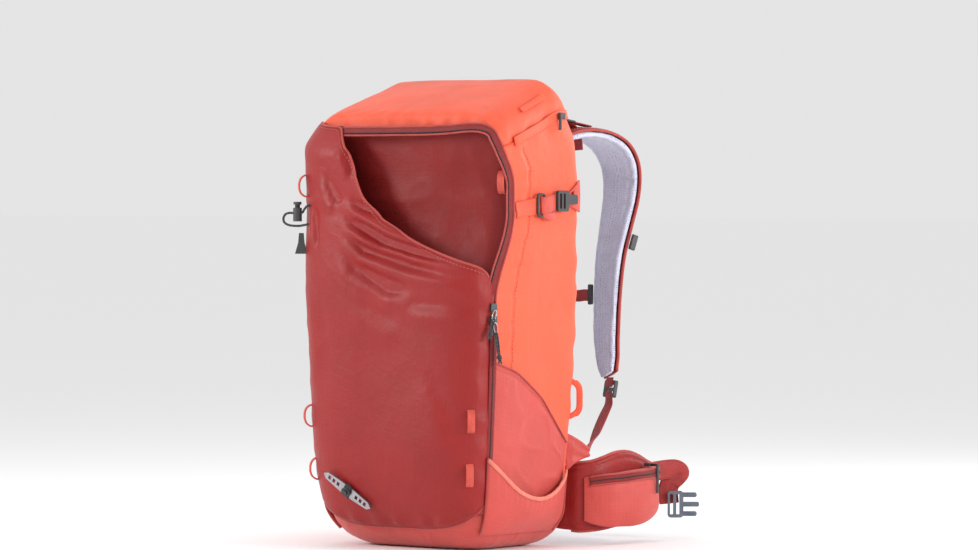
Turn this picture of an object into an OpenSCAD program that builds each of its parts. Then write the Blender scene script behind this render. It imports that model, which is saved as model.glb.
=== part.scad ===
// Ski backpack: an assembly of sewn panels, frame, harness, hip belt and hardware.
// +Z is up, the front pocket faces -Y, the wearer is at +Y. The origin is on the
// surface the bag stands on, under the middle of its base.

/* [Bag] */
// Half of the bag's width at mid height
half_width = 150; // [140:1:158]
// Height of the bag along its back edge
bag_height = 584; // [570:1:600]
// Distance from the centre line forward to the fullest point of the front pocket
front_depth = 115; // [110:1:122]
// Distance from the centre line back to the back seam
back_depth = 95; // [93:1:97]
// How much each side draws in from mid height down to the base
low_taper = 22; // [14:1:26]
// Radius of the lid's upper edge
lid_round = 45; // [38:1:52]
// Fall of the lid towards the front, in mm for each mm
lid_slope = 0.32; // [0.26:0.01:0.36]
// Thickness of a sewn fabric panel
fabric_t = 2.5; // [1.5:0.1:3]

/* [Frame and back] */
// Width of the internal frame sheet
frame_w = 224; // [200:1:226]
// Thickness of the frame sheet
frame_sheet_t = 1.5; // [1:0.1:1.6]
// Width of each aluminium stay
stay_w = 15; // [12:1:20]
// Thickness of the foam ridges on the back panel
back_foam_t = 11; // [8:1:12]

/* [Harness] */
// Width of the shoulder straps at the chest
strap_w = 64; // [56:1:68]
// Thickness of the shoulder strap's foam
strap_pad_t = 10; // [8:1:11]
// Width of the webbing below the shoulder straps
harness_web_w = 20; // [15:1:22]
// Width of the sternum strap
sternum_web_w = 15; // [12:1:18]

/* [Hip belt] */
// Width of the hip belt's webbing
hip_web_w = 25; // [20:1:28]
// Thickness of the padded hip fins
fin_t = 11; // [8:1:12]

/* [Hardware] */
// Length of the ice axe toggle
toggle_l = 78; // [70:1:82]
// Diameter of the elastic cord of the shaft holder
cord_d = 3; // [2.5:0.1:3.2]
// Width of the side compression webbing
side_web_w = 20; // [18:1:22]
// Diameter of the cord lock's barrel
lock_d = 11; // [10:0.5:12]

/* [Hidden] */

orange = [1.0, 0.37, 0.24];
coral = [0.95, 0.42, 0.33];
redwood = [0.68, 0.18, 0.16];
light_red = [0.78, 0.25, 0.22];
black_plastic = [0.10, 0.11, 0.13];
grey_mesh = [0.80, 0.81, 0.86];
metal_grey = [0.72, 0.73, 0.76];
foam_grey = [0.35, 0.36, 0.40];

// The bag's form
centre_y = -5;
front_n = 4.5;
back_n = 14;
lid_flat_y = 60;
top_start = bag_height - lid_round;
seam_z = top_start - 1;
base_cut = 45;
shoulder = 12;
clear = 0.3;
back_y = centre_y + back_depth;

// Angles round the bag's outline, closer together at its corners
back_q = [0, 14, 24, 29, 32.5, 36, 42, 55, 72];
front_q = [8, 16, 24, 30, 36, 43, 51, 61, 75];
last_q = len(back_q) - 1;
angles = concat(
    back_q, [90], [for (i = [last_q : -1 : 0]) 180 - back_q[i]],
    [for (a = front_q) 180 + a], [270], [for (i = [last_q : -1 : 0]) 360 - front_q[i]]
);

function clamp01(v) = min(1, max(0, v));
function smooth(a, b, v) = let (t = clamp01((v - a) / (b - a))) t * t * (3 - 2 * t);
function mean(list) = [for (k = [0 : 2]) let (c = [for (p = list) p[k]]) c * [for (v = c) 1] / len(c)];
function unit(v) = v / norm(v);
function root_sign(v, e) = sign(v) * pow(abs(v), e);

// How far the outline draws in over the rounded base, for a rounding size deep and span high
function base_in(size, span, z) = z >= span ? 0 : size * (1 - sqrt(1 - pow((span - z) / span, 2)));
function top_in(z) = z <= top_start ? 0 : lid_round - sqrt(max(0, pow(lid_round, 2) - pow(z - top_start, 2)));
function width_at(z) = half_width - low_taper * (1 - smooth(0, 330, z)) - base_in(50, 50, z) - top_in(z);
function front_at(z) = front_depth - base_in(80, 150, z) - top_in(z);
function back_at(z) = back_depth - base_in(30, 35, z) - top_in(z);
function drop(y) = max(0, (lid_flat_y - y) * lid_slope);
// How far the shoulders draw in under the lid, more towards the back
function shoulder_in(y, z) = shoulder * smooth(480, 560, z) * smooth(-80, 60, y);
function tilt(p, z) =
    let (in = shoulder_in(p.y, z))
    [p.x * (1 - in / half_width), p.y - in * smooth(0, 80, p.y), z - drop(p.y) * smooth(300, top_start, z)];

// A point of the bag's outer skin at an angle round it and a nominal height
function skin(a, z, out = 0) =
    let (front = sin(a) < 0)
    let (n = front ? front_n : back_n)
    let (deep = (front ? front_at(z) : back_at(z)) + out)
    let (wide = width_at(z) + out)
    let (r = pow(pow(abs(cos(a)) / wide, n) + pow(abs(sin(a)) / deep, n), -1 / n))
    tilt([r * cos(a), centre_y + r * sin(a)], z);

// The front zip's line runs straight up, then back, then forward over the top corner
function zip_y(z) = -82 + 32 * smooth(300, 440, z) - 30 * smooth(480, 575, z);
function lining_bulge(z) = 13 + 21 * smooth(300, 440, z) - 25 * smooth(480, 575, z);
function seam_angle(z) = atan2(centre_y - zip_y(z), width_at(z));

// The bag's skin without the front pocket, whose back wall is the lining
function core(a, z, back = 0) =
    let (p = skin(a, z), zy = zip_y(z))
    let (edge = pow(1 - pow((centre_y - zy) / front_at(z), front_n), 1 / front_n) * width_at(z))
    let (y = zy - lining_bulge(z) * (1 - pow(p.x / edge, 2)) + back)
    p.y >= zy + back ? p : tilt([p.x, y], z);

// A closed solid through rings of points; each ring runs anticlockwise seen from the far end
module loft(rings) {
    n = len(rings[0]);
    m = len(rings);
    points = concat([for (r = rings) each r], [mean(rings[0]), mean(rings[m - 1])]);
    walls = [
        for (k = [0 : m - 2], i = [0 : n - 1])
            let (a = k * n + i, b = k * n + (i + 1) % n) each [[a, b + n, b], [a, a + n, b + n]]
    ];
    ends = [
        for (i = [0 : n - 1])
            let (j = (i + 1) % n, top = (m - 1) * n) each [[i, j, m * n], [top + j, top + i, m * n + 1]]
    ];
    polyhedron(points, concat(walls, ends));
}

// A closed sheet between two grids of points: rows go up, columns go anticlockwise
module sheet(outer, inner) {
    rows = len(outer);
    cols = len(outer[0]);
    half = rows * cols;
    points = concat([for (r = outer) each r], [for (r = inner) each r]);
    skins = [
        for (r = [0 : rows - 2], c = [0 : cols - 2])
            let (a = r * cols + c, up = a + cols, i = a + half, iup = up + half)
            each [[a, up, up + 1], [a, up + 1, a + 1], [i, iup + 1, iup], [i, i + 1, iup + 1]]
    ];
    rims = [
        for (c = [0 : cols - 2])
            let (a = c, t = (rows - 1) * cols + c)
            each [
                [a, a + 1, a + 1 + half], [a, a + 1 + half, a + half],
                [t + 1, t, t + half], [t + 1, t + half, t + 1 + half]
            ]
    ];
    sides = [
        for (r = [0 : rows - 2])
            let (a = r * cols, b = a + cols - 1)
            each [
                [a + cols, a, a + half], [a + cols, a + half, a + cols + half],
                [b, b + cols, b + cols + half], [b, b + cols + half, b + half]
            ]
    ];
    polyhedron(points, concat(skins, rims, sides));
}

// A patch of the bag's skin from one angle to another, between two offsets
module skin_patch(from, to, cols, levels, out, thick) {
    function grid(d) = [
        for (k = [0 : len(levels) - 1])
            [for (c = [0 : cols]) skin(from[k] + (to[k] - from[k]) * c / cols, levels[k], d)]
    ];
    sheet(grid(out + thick), grid(out));
}

// A strap through stations of [centre, width direction], rounded at its edges
module strap(stations, half_w, half_t, shift = 0, sides = 16) {
    last = len(stations) - 1;
    loft([
        for (k = [0 : last])
            let (c = stations[k][0], w = unit(stations[k][1]))
            let (t = unit(stations[min(k + 1, last)][0] - stations[max(k - 1, 0)][0]))
            let (v = unit(cross(t, w)), u = unit(cross(v, t)))
            let (hw = is_list(half_w) ? half_w[k] : half_w)
            let (ht = is_list(half_t) ? half_t[k] : half_t)
            [
                for (i = [0 : sides - 1])
                    let (a = 360 * i / sides)
                    c + v * shift + u * hw * root_sign(cos(a), 0.5) + v * ht * root_sign(sin(a), 0.7)
            ]
    ]);
}

// A round tube of the elastic cord along a route
module tube(route, d, sides = 8) {
    last = len(route) - 1;
    loft([
        for (k = [0 : last])
            let (t = unit(route[min(k + 1, last)] - route[max(k - 1, 0)]))
            let (u = unit(cross([0.3, -0.4, 0.86], t)), v = cross(t, u))
            [for (i = [0 : sides - 1]) route[k] + (u * cos(360 * i / sides) + v * sin(360 * i / sides)) * d / 2]
    ]);
}

// A plate with rounded corners, standing in the XZ plane, thick along +Y
module plate(w, h, r, t) {
    rotate([90, 0, 0])
        translate([0, 0, -t])
            linear_extrude(t)
                union() {
                    square([w - 2 * r, h], center = true);
                    square([w, h - 2 * r], center = true);
                    for (x = [-1, 1], y = [-1, 1])
                        translate([x * (w / 2 - r), y * (h / 2 - r)])
                            circle(r, $fn = 32);
                }
}

// Places its children on the right or, mirrored, on the left
module side_of(side) {
    if (side > 0) children();
    else mirror([1, 0, 0]) children();
}

// --- Bag ---------------------------------------------------------------------

bag_levels = [46, 80, 130, 190, 250, 300, 340, 370, 400, 440, 480, 510, seam_z];
frame_low = 65;
frame_high = 505;
recess_y = back_y - 9;

module main_bag() {
    color(orange)
        difference() {
            loft([for (z = bag_levels) [for (a = angles) core(a, z, fabric_t + clear)]]);
            translate([-frame_w / 2 - 3, recess_y, frame_low - 3])
                cube([frame_w + 6, 20, frame_high - frame_low + 6]);
        }
}

module lid() {
    levels = [seam_z + 0.5, 550, 560, 570, 578, 582, bag_height];
    crown = 5;
    color(orange)
        loft(concat(
            [for (z = levels) [for (a = angles) core(a, z, fabric_t + clear)]],
            [
                for (k = [0.7, 0.35])
                    [
                        for (a = angles)
                            let (p = core(a, bag_height, fabric_t + clear))
                            let (y = centre_y + (p.y - centre_y) * k)
                            [p.x * k, y, bag_height + crown * (1 - k * k) - drop(y)]
                    ]
            ]
        ));
}

// Zip tape round the sides and back, over the seam between bag and lid
module lid_zip() {
    turn = [for (a = [-12 : 6 : 24]) a];
    full = concat(turn, [28, 30, 32.5, 35, 38, 50, 70, 90, 110, 130, 142, 145, 147.5, 150, 152],
                  [for (a = [156 : 6 : 192]) a]);
    function row(z, d) = [for (a = full) skin(a, z, d)];
    color(redwood)
        sheet([row(seam_z - 5, 2.2), row(seam_z + 5, 2.2)], [row(seam_z - 5, 0.8), row(seam_z + 5, 0.8)]);
}

// The pocket's back wall, lying on the front of bag and lid
module front_lining() {
    levels = [50, 90, 150, 220, 300, 340, 370, 400, 440, 480, 510, 536, 556, 570];
    cols = 16;
    function row(z, back) = [
        for (c = [0 : cols])
            let (x = -1 + 2 * c / cols, zy = zip_y(z) - 1)
            let (edge = pow(1 - pow((centre_y - zy) / front_at(z), front_n), 1 / front_n) * width_at(z) - 4)
            tilt([x * edge, zy - lining_bulge(z) * (1 - pow(x * edge / (edge + 4), 2)) + back], z)
    ];
    color(redwood)
        sheet([for (z = levels) row(z, 0)], [for (z = levels) row(z, fabric_t - 1)]);
}

// Height of the open pocket's free edge, at each angle round the front
free_edge = [[234, 572], [240, 560], [250, 538], [256, 490], [270, 448], [286, 424], [303, 392],
             [315, 372], [328, 352], [331, 330], [333, 312]];
flap_top = 572;
flap_low = 28;
flap_corner = 34;

module front_flap() {
    cols = 40;
    rows = 22;
    low_angle = 29;
    // The flap's bottom corners are rounded
    function low(a) = flap_low + flap_corner * pow(abs(a - 270) / (90 - low_angle), 7);
    function high(a) = lookup(a, free_edge);
    function point(c, r, d) =
        let (a0 = 180 + low_angle + (180 - 2 * low_angle) * c / cols)
        let (z = low(a0) + (min(flap_top, high(a0)) - low(a0)) * r / rows)
        let (s = seam_angle(z) + 0.4)
        let (a = 180 + s + (180 - 2 * s) * c / cols)
        let (left = smooth(270, 209, a0), stand = clear + 1.7 * (1 - smooth(40, 110, z)))
        skin(a0 > 270 ? a0 : a * left + a0 * (1 - left), z, stand + d);
    function grid(d) = [for (r = [0 : rows]) [for (c = [0 : cols]) point(c, r, d)]];
    color(redwood)
        sheet(grid(fabric_t), grid(0));
}

// Tape of the open front zip, from the sliders up the right side and over the top corner
module front_zip() {
    levels = [for (z = [334 : 13 : 529]) z];
    start = [for (z = levels) 360 - seam_angle(z) - 3.5];
    end = [for (z = levels) 360 - seam_angle(z) - 0.3];
    color(redwood)
        skin_patch(start, end, 2, levels, clear, 1.5);
}

module bottom_panel() {
    color(light_red)
        loft([for (z = [0, 1, 3, 7, 14, 24, 34, base_cut]) [for (a = angles) skin(a, z)]]);
}

guard_line = [[-90, 238], [-36, 221], [15, 188], [62, 141], [90, 118]];
hem_line = [[-90, 131], [-78, 117], [-47, 88], [-29, 74], [-7, 65], [17, 63], [41, 70], [62, 83], [77, 104], [90, 124]];

module side_guard(side) {
    cols = 14;
    rows = 10;
    function point(c, r, d) =
        let (a = -27 + 53 * c / cols)
        let (z = 48 + (lookup(skin(a, 150).y, guard_line) - 48) * r / rows)
        skin(a, z, d);
    function grid(d) = [for (r = [0 : rows]) [for (c = [0 : cols]) point(c, r, d)]];
    color(light_red)
        side_of(side) sheet(grid(clear + 1.5), grid(clear));
}

pocket_stand = 11;

// Stretch pocket low on the side: closed at its foot and ends, standing off at its hem
module side_pocket(side) {
    cols = 16;
    rows = 6;
    foot = 20;
    function gap(c, r) = 2.4 + pocket_stand * pow(sin(180 * c / cols), 0.6) * smooth(0, 0.8, r / rows);
    function point(c, r, d) =
        let (a = -26 + 51 * c / cols)
        let (z = foot + (lookup(skin(a, 100).y, hem_line) - foot) * r / rows)
        skin(a, z, d + gap(c, r));
    function grid(d) = [for (r = [0 : rows]) [for (c = [0 : cols]) point(c, r, d)]];
    color(light_red)
        side_of(side) sheet(grid(2.2), grid(0));
}

// --- Back --------------------------------------------------------------------

back_plate_y = back_y - 3.5;

module frame_sheet() {
    color(black_plastic)
        translate([0, recess_y + clear, (frame_low + frame_high) / 2])
            plate(frame_w, frame_high - frame_low, 25, frame_sheet_t);
}

module frame_stays() {
    stay_y = recess_y + clear + frame_sheet_t + clear;
    color(metal_grey)
        for (x = [-1, 1])
            translate([x * 52, stay_y, (frame_low + frame_high) / 2])
                plate(stay_w, frame_high - frame_low - 20, stay_w / 2 - 0.1, 3);
}

module back_panel() {
    mid_z = (frame_low + frame_high) / 2;
    h = frame_high - frame_low;
    color(foam_grey)
        union() {
            translate([0, back_plate_y, mid_z]) plate(frame_w, h, 25, 3.8);
            for (x = [-1, 1])
                translate([x * 62, back_plate_y + 3, mid_z + 30])
                    plate(88, h - 90, 20, back_foam_t);
            translate([0, back_plate_y + 3, frame_low + 40])
                plate(190, 70, 22, back_foam_t + 4);
        }
}

module haul_loop() {
    // A webbing grip between the shoulder straps, standing off the back seam
    route = [[-36, 99, 526], [-31, 102, 533], [-22, 107, 541], [-10, 110, 546], [0, 111, 547],
             [10, 110, 546], [22, 107, 541], [31, 102, 533], [36, 99, 526]];
    color(redwood)
        strap([for (p = route) [p, [0, 0.55, -0.83]]], [4, 5, 8, 9, 9, 9, 8, 5, 4], 1.6, 0, 12);
}

module back_edge_loops() {
    route = [[139, 89, 203], [141, 90.5, 202], [143.6, 92.3, 196], [144, 92.5, 184], [143.6, 92.3, 172],
             [141, 90.5, 166], [139, 89, 165]];
    color(coral)
        for (s = [-1, 1])
            side_of(s) strap([for (p = route) [p, [0.79, 0.61, 0]]], 4, 1.2, 0, 8);
}

// --- Harness -----------------------------------------------------------------

hinge_y = 113;
hinge_z = 498;

// Centre line of the right shoulder strap, with the direction of its width
strap_line = [
    [[70, hinge_y, hinge_z], [1, 0, 0]],
    [[72, 124, 506], [1, 0, 0]],
    [[75, 142, 513], [1, 0, 0]],
    [[79, 170, 516], [1, 0, 0]],
    [[82, 205, 512], [1, -0.03, 0]],
    [[83, 236, 500], [1, -0.07, 0]],
    [[82, 257, 480], [1, -0.12, 0]],
    [[81, 265, 456], [1, -0.17, 0]],
    [[81, 262, 428], [1, -0.24, 0]],
    [[82, 251, 396], [1, -0.32, 0]],
    [[84, 237, 358], [1, -0.40, 0]],
    [[89, 224, 310], [1, -0.46, 0]],
    [[97, 211, 262], [1, -0.46, 0]],
    [[105, 203, 228], [1, -0.46, 0]],
    [[110, 199, 210], [1, -0.46, 0]]
];
strap_half = [27, 28, 29, 30, 31, 32, 32, 32, 32, 31, 30, 29, 27, 23, 16] * strap_w / 64;
pad_half = [for (w = strap_half) w - 2];
pad_thin = [4, 4.6, 5, 5, 5, 5, 5, 5, 5, 5, 5, 5, 4.6, 4, 3] * strap_pad_t / 10;

module strap_pad(side) {
    color(grey_mesh)
        side_of(side) strap(strap_line, pad_half, pad_thin, 2, 16);
}

module strap_shell(side) {
    color(redwood)
        side_of(side) strap(strap_line, strap_half, 1.4, -5.2, 12);
}

// Hose clips on the outer edges of the straps
module strap_clips() {
    color(black_plastic)
        for (s = [-1, 1])
            side_of(s)
                translate([117.5, 237, 378])
                    rotate([-18, 0, -20])
                        plate(5, 20, 2, 7);
}

lifter_x = 86;

module load_lifters() {
    line = [[[lifter_x - 8, 99, 536], [1, 0, 0]], [[lifter_x - 5, 120, 533], [1, 0, 0]],
            [[lifter_x - 2, 142, 530], [1, 0, 0]], [[lifter_x, 164, 527.5], [1, 0, 0]],
            [[lifter_x, 186, 524.5], [1, 0, 0]]];
    color(redwood)
        for (s = [-1, 1])
            side_of(s) {
                strap(line, 7.5, 1.2, 0, 8);
                translate([lifter_x - 1, 140, 527]) rotate([97, 0, 0]) plate(22, 16, 3, 5);
            }
}

module ladder_lock(side) {
    color(black_plastic)
        side_of(side)
            translate([112, 197.5, 192])
                rotate([-10, 0, -24])
                    difference() {
                        plate(28, 22, 3, 4);
                        for (z = [-4.6, 3.4])
                            translate([0, -1, z]) plate(21, 3.6, 1, 8);
                    }
}

module lower_webbing() {
    line = [[[114, 193, 172], [1, -0.4, 0]], [[117, 180, 160], [1, -0.2, 0.1]], [[122, 162, 145], [0.8, 0.3, 0.5]],
            [[128, 146, 134], [0.5, 0.5, 0.7]], [[133, 131, 124], [0.2, 0.4, 0.9]], [[136, 120, 118], [0.1, 0.3, 0.95]]];
    color(redwood)
        for (s = [-1, 1])
            side_of(s) strap(line, harness_web_w / 2 - 2, 1, 0, 8);
}

// Triangle of fabric between the back seam and the lower webbing
module wing(side) {
    // Each column is [x, y, low edge, high edge]
    cols = [[133, 92, 106, 138], [136, 104, 108, 129], [140, 117, 111, 121]];
    function grid(d) = [for (k = [0, 0.5, 1]) [for (c = cols) [c.x + d, c.y, c[2] + (c[3] - c[2]) * k]]];
    color(orange)
        side_of(side) sheet(grid(1), grid(-1));
}

sternum_z = 310;

module sternum_web() {
    color(redwood)
        for (s = [-1, 1])
            side_of(s)
                strap([[[51, 233, sternum_z - 1], [0, 0, 1]], [[45, 233, sternum_z - 1], [0, 0, 1]],
                       [[38, 232, sternum_z - 2], [0, 0, 1]], [[31, 232, sternum_z - 2], [0, 0, 1]]],
                      sternum_web_w / 2, 1, 0, 8);
}

module sternum_buckle_female() {
    color(black_plastic)
        translate([-10.5, 229, sternum_z - 2])
            difference() {
                plate(19, 22, 4, 6);
                translate([5, -1, 0]) plate(14, 12, 1, 8);
            }
}

module sternum_buckle_male() {
    color(black_plastic)
        translate([9.5, 230, sternum_z - 2])
            union() {
                plate(15, 20, 3, 4);
                translate([-9, 0.5, 0]) plate(10, 9, 2, 3);
            }
}

module sternum_sliders() {
    color(black_plastic)
        for (s = [-1, 1])
            side_of(s)
                translate([56, 231, sternum_z])
                    plate(6, 26, 2, 4);
}

// --- Hip belt ----------------------------------------------------------------

fin_hinge = [118, 106];
// Plan line of the right fin with its lower and upper edges
fin_line = [
    [118, 106, 18, 100], [130, 110, 17, 102], [142, 121, 18, 104], [150, 136, 20, 109], [154, 155, 23, 114],
    [156, 178, 27, 114], [156, 200, 34, 108], [153, 220, 44, 101], [151, 233, 54, 97]
];

module hip_fin(side) {
    last = len(fin_line) - 1;
    color(redwood)
        side_of(side)
            loft([
                for (k = [0 : last])
                    let (p = fin_line[k], q = fin_line[min(k + 1, last)], o = fin_line[max(k - 1, 0)])
                    let (t = unit([q.x - o.x, q.y - o.y, 0]), v = [t.y, -t.x, 0])
                    let (mid = (p[2] + p[3]) / 2, half = (p[3] - p[2]) / 2)
                    [
                        for (i = [0 : 15])
                            let (a = 360 * i / 16)
                            [p.x, p.y, mid] + v * fin_t / 2 * root_sign(cos(a), 0.6)
                            + [0, 0, -1] * half * root_sign(-sin(a), 0.35)
                    ]
            ]);
}

module hip_pocket(side) {
    // Each station is [x, y, low edge, high edge, depth], on the fin's centre line
    line = [[148.5, 133, 30, 84, 4], [152, 146, 24, 90, 14], [155, 165, 22, 92, 20], [156, 185, 25, 93, 21],
            [155.5, 203, 32, 94, 19], [153.5, 217, 42, 94, 13], [152, 226, 52, 92, 4]];
    last = len(line) - 1;
    inner = fin_t / 2 + 0.8;
    color(light_red)
        side_of(side)
            loft([
                for (k = [0 : last])
                    let (p = line[k], q = line[min(k + 1, last)], o = line[max(k - 1, 0)])
                    let (t = unit([q.x - o.x, q.y - o.y, 0]), v = [t.y, -t.x, 0])
                    let (mid = (p[2] + p[3]) / 2, half = (p[3] - p[2]) / 2)
                    [
                        for (i = [0 : 15])
                            let (a = 360 * i / 16)
                            [p.x, p.y, mid] + v * (inner + p[4] * (1 + root_sign(cos(a), 0.6)) / 2)
                            + [0, 0, 1] * half * root_sign(sin(a), 0.4)
                    ]
            ]);
}

// Webbing beyond the fins: the right end folds back to its buckle, the left one runs straight
module hip_web(side) {
    folded = [[[151, 236, 86], [0, 0, 1]], [[153, 248, 87], [0, 0, 1]], [[157, 260, 88], [0, 0, 1]],
              [[163, 270, 88], [0.1, 0.1, 1]], [[167, 274, 84], [0.6, 0.5, 0.6]], [[163, 270, 79], [0.7, 0.6, 0.3]],
              [[156, 262, 74], [0.6, 0.5, 0.4]], [[150, 254, 66], [0.4, 0.3, 0.9]], [[147, 250, 56], [0.2, 0.1, 1]]];
    straight = [[[151, 236, 84], [0, 0, 1]], [[152, 244, 84], [0, 0, 1]], [[152, 252, 84], [0, 0, 1]]];
    color(redwood)
        side_of(side) strap(side > 0 ? folded : straight, hip_web_w / 2, 1.1, 0, 8);
}

// Foot of the male half on the right, the way it points, and the foot of the female half
buckle_at = [159, 259, 44];
buckle_turn = 38;
female_at = [-152, 256, 84];

module hip_buckle_male() {
    // Frame with two web slots, and three prongs that enter the female half
    color([0.42, 0.46, 0.52])
        translate(buckle_at)
            rotate([0, 0, buckle_turn]) {
                difference() {
                    translate([10, -3, 0]) plate(20, 34, 4, 6);
                    for (x = [5, 13]) translate([x, -4, 0]) plate(4, 26, 1, 8);
                }
                translate([29, -2.5, 0]) plate(22, 6, 2, 5);
                for (s = [-1, 1])
                    translate([27, -2.5, s * 12]) plate(20, 6, 2.5, 5);
            }
}

module hip_buckle_female() {
    color([0.42, 0.46, 0.52])
        translate(female_at)
            rotate([0, 0, 90])
                difference() {
                    translate([18, -5, 0]) plate(36, 40, 5, 10);
                    translate([4.5, -6, 0]) plate(4, 26, 1, 14);
                    translate([26, -3, 0]) plate(30, 30, 2, 6);
                }
}

module hip_slider(side) {
    // The slider runs on top of the pocket and its pull hangs clear of the pocket's outer face
    color(black_plastic)
        side_of(side) {
            translate([168, 196, 95.5]) cube([8, 8, 4]);
            translate([168, 199, 96]) cube([18, 2.5, 3]);
            translate([186, 200.2, 62]) cylinder(h = 37, r = 1.8, $fn = 24);
        }
}

// --- Front hardware ----------------------------------------------------------

// Angle from the side and height of each loop; the upper right one is inside the pocket
loop_angle = 38;
loop_heights = [498, 162, 96];
loop_gap = 2.4;
loop_facing = -48;
inner_loop = [-32, 485];
inner_gap = 6;
inner_facing = -70;

// Webbing loops for carrying skis, standing out at the front corners
module ski_loops() {
    color(coral)
        for (s = [-1, 1])
            for (z = loop_heights)
                side_of(s) {
                    inside = s > 0 && z > 400;
                    p = inside ? core(inner_loop[0], inner_loop[1]) : skin(-loop_angle, z, clear + fabric_t);
                    translate(p)
                        rotate([0, 0, inside ? inner_facing : loop_facing])
                            translate([inside ? inner_gap : loop_gap, 0, 0])
                                ski_loop();
                }
}

module ski_loop() {
    h = 28;
    rotate([90, 0, 0])
        linear_extrude(8, center = true)
            difference() {
                intersection() {
                    translate([0.4, 0]) circle(h / 2, $fn = 48);
                    translate([0.4, -h / 2]) square([9, h]);
                }
                intersection() {
                    circle(h / 2 - 2, $fn = 48);
                    translate([-1, -h / 2]) square([8, h]);
                }
            }
}

toggle_at = [-57, -118.5, 71];
toggle_lean = 17;
toggle_turn = 35;
spindle_r = 3.2;

// Pierced light-metal bar that holds an ice axe's head
module toggle_bar() {
    wing_l = toggle_l / 2;
    color(metal_grey)
        translate(toggle_at)
            rotate([toggle_lean, 0, 0])
                rotate([0, toggle_turn, 0])
                rotate([90, 0, 0])
                    linear_extrude(2.4, center = true)
                        difference() {
                            polygon([[-wing_l, 1], [-wing_l + 6, 6], [-10, 7.5], [10, 7.5], [wing_l - 6, 6], [wing_l, 1],
                                     [wing_l - 5, -4], [10, -6.5], [-10, -6.5], [-wing_l + 5, -4]]);
                            for (x = [-29, -22, -15, 15, 22, 29])
                                translate([x, 0.8]) square([4, 5], center = true);
                            circle(spindle_r + 0.1, $fn = 32);
                        }
}

// Spindle of doubled cord that the bar turns on, with its stop washer
module toggle_anchor() {
    color(black_plastic)
        translate(toggle_at)
            rotate([toggle_lean, 0, 0])
                rotate([90, 0, 0]) {
                    translate([0, 0, -5.2]) cylinder(h = 12, r = spindle_r, $fn = 32);
                    translate([0, 0, 2]) cylinder(h = 3, r = 6, $fn = 32);
                }
}

// Route of the shaft holder's elastic loop: out of the seam, through the cord lock, round and
// back into the seam
cord_route = [[-121, -115, 425], [-125, -116, 423], [-129, -116, 419], [-132, -116, 415.5], [-138, -118, 415],
              [-144, -120, 415], [-149, -122, 415], [-154, -123, 413], [-156, -124, 408], [-155, -123, 403],
              [-150, -121, 400], [-143, -119, 399], [-136, -116, 399], [-130, -114, 400], [-125, -113, 401]];
lock_at = [-138, -118, 404.5];
lock_floor = 1.5;
lock_high = 17;
cord_high = 10.5;
cord_turn = 18.4;
lock_travel = 3.5;
stem_r = 3.2;
stem_foot = 8;

module shaft_cord() {
    color(black_plastic) tube(cord_route, cord_d);
}

// Barrel with a cross hole that the cord runs through
module cord_lock_body() {
    color(black_plastic)
        translate(lock_at)
            difference() {
                cylinder(h = lock_high, r = lock_d / 2, $fn = 40);
                translate([0, 0, lock_floor]) cylinder(h = lock_high, r = stem_r + 0.2, $fn = 40);
                translate([0, 0, cord_high])
                    rotate([0, 0, cord_turn])
                        rotate([0, 90, 0])
                            cylinder(h = 2 * lock_d, r = cord_d / 2 + 0.5, center = true, $fn = 32);
            }
}

module cord_lock_spring() {
    color(metal_grey)
        translate(lock_at)
            for (k = [0 : 2])
                translate([0, 0, lock_floor + 0.6 + 2.2 * k])
                    rotate_extrude($fn = 32) translate([2.4, 0]) circle(0.35, $fn = 16);
}

// Plunger with a slot for the cord, long enough for the plunger's travel
module cord_lock_button() {
    color(black_plastic)
        translate(lock_at)
            difference() {
                union() {
                    translate([0, 0, stem_foot]) cylinder(h = 15, r = stem_r, $fn = 40);
                    translate([0, 0, lock_high + lock_travel + 0.5])
                        cylinder(h = 3.5, r = lock_d / 2 - 0.5, $fn = 40);
                }
                rotate([0, 0, cord_turn])
                    translate([-lock_d, -2, cord_high - 1.8])
                        cube([2 * lock_d, 4, 3.6 + lock_travel]);
            }
}

// Pull tab under the shaft holder
module shaft_tab() {
    color(black_plastic)
        translate([-138.5, -110, 376])
            rotate([0, 0, 38])
                rotate([0, -90, 90])
                    linear_extrude(2, center = true)
                        polygon([[14, -3], [14, 3], [2, 4], [-12, 8], [-12, -8], [2, -4]]);
}

// --- Side compression --------------------------------------------------------

side_y = 30;
side_z = 428;

module side_strap(side) {
    line = [[[151.6, -30, 421], [0, 0, 1]], [[152.2, -15, 423], [0, 0, 1]], [[152.8, 0, 425], [0, 0, 1]],
            [[153.4, 14, 427], [0, 0, 1]], [[154.6, side_y - 3.5, side_z], [0, 0, 1]]];
    color(coral)
        side_of(side) strap(line, side_web_w / 2, 1, 0, 8);
}

module side_hook(side) {
    color(black_plastic)
        side_of(side)
            translate([155, side_y, side_z + 2]) {
                rotate([0, 0, 90])
                    difference() {
                        translate([10, -4, 0]) plate(22, 26, 3, 4);
                        for (x = [4.5, 12]) translate([x, -5, 0]) plate(4, 19, 1, 8);
                    }
                translate([0, 20, 2]) rotate([0, 0, 90]) translate([8, -4, 0]) plate(22, 12, 3, 4);
                translate([-3, 33, -2]) cube([4, 3, 8]);
            }
}

module side_tabs() {
    color(coral)
        for (s = [-1, 1])
            side_of(s)
                difference() {
                    translate([151, 58, 0])
                        rotate([90, 0, 90])
                            linear_extrude(2)
                                polygon([[1, 424], [1, 440], [26, 456], [26, 416]]);
                    translate([149, 61, 426]) cube([10, 7, 14]);
                }
}

// --- Zip sliders and pulls ---------------------------------------------------

// The sliders run on the front zip's straight lower stretch, at this angle round the bag
slider_angle = 331;
slider_facing = -24;
slider_spot = skin(slider_angle, 290, clear + fabric_t + 0.8);

// Puts its children on the zip at a height, facing out along +X
module on_zip(z) {
    translate([slider_spot.x, slider_spot.y, z])
        rotate([0, 0, slider_facing])
            children();
}

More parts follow.
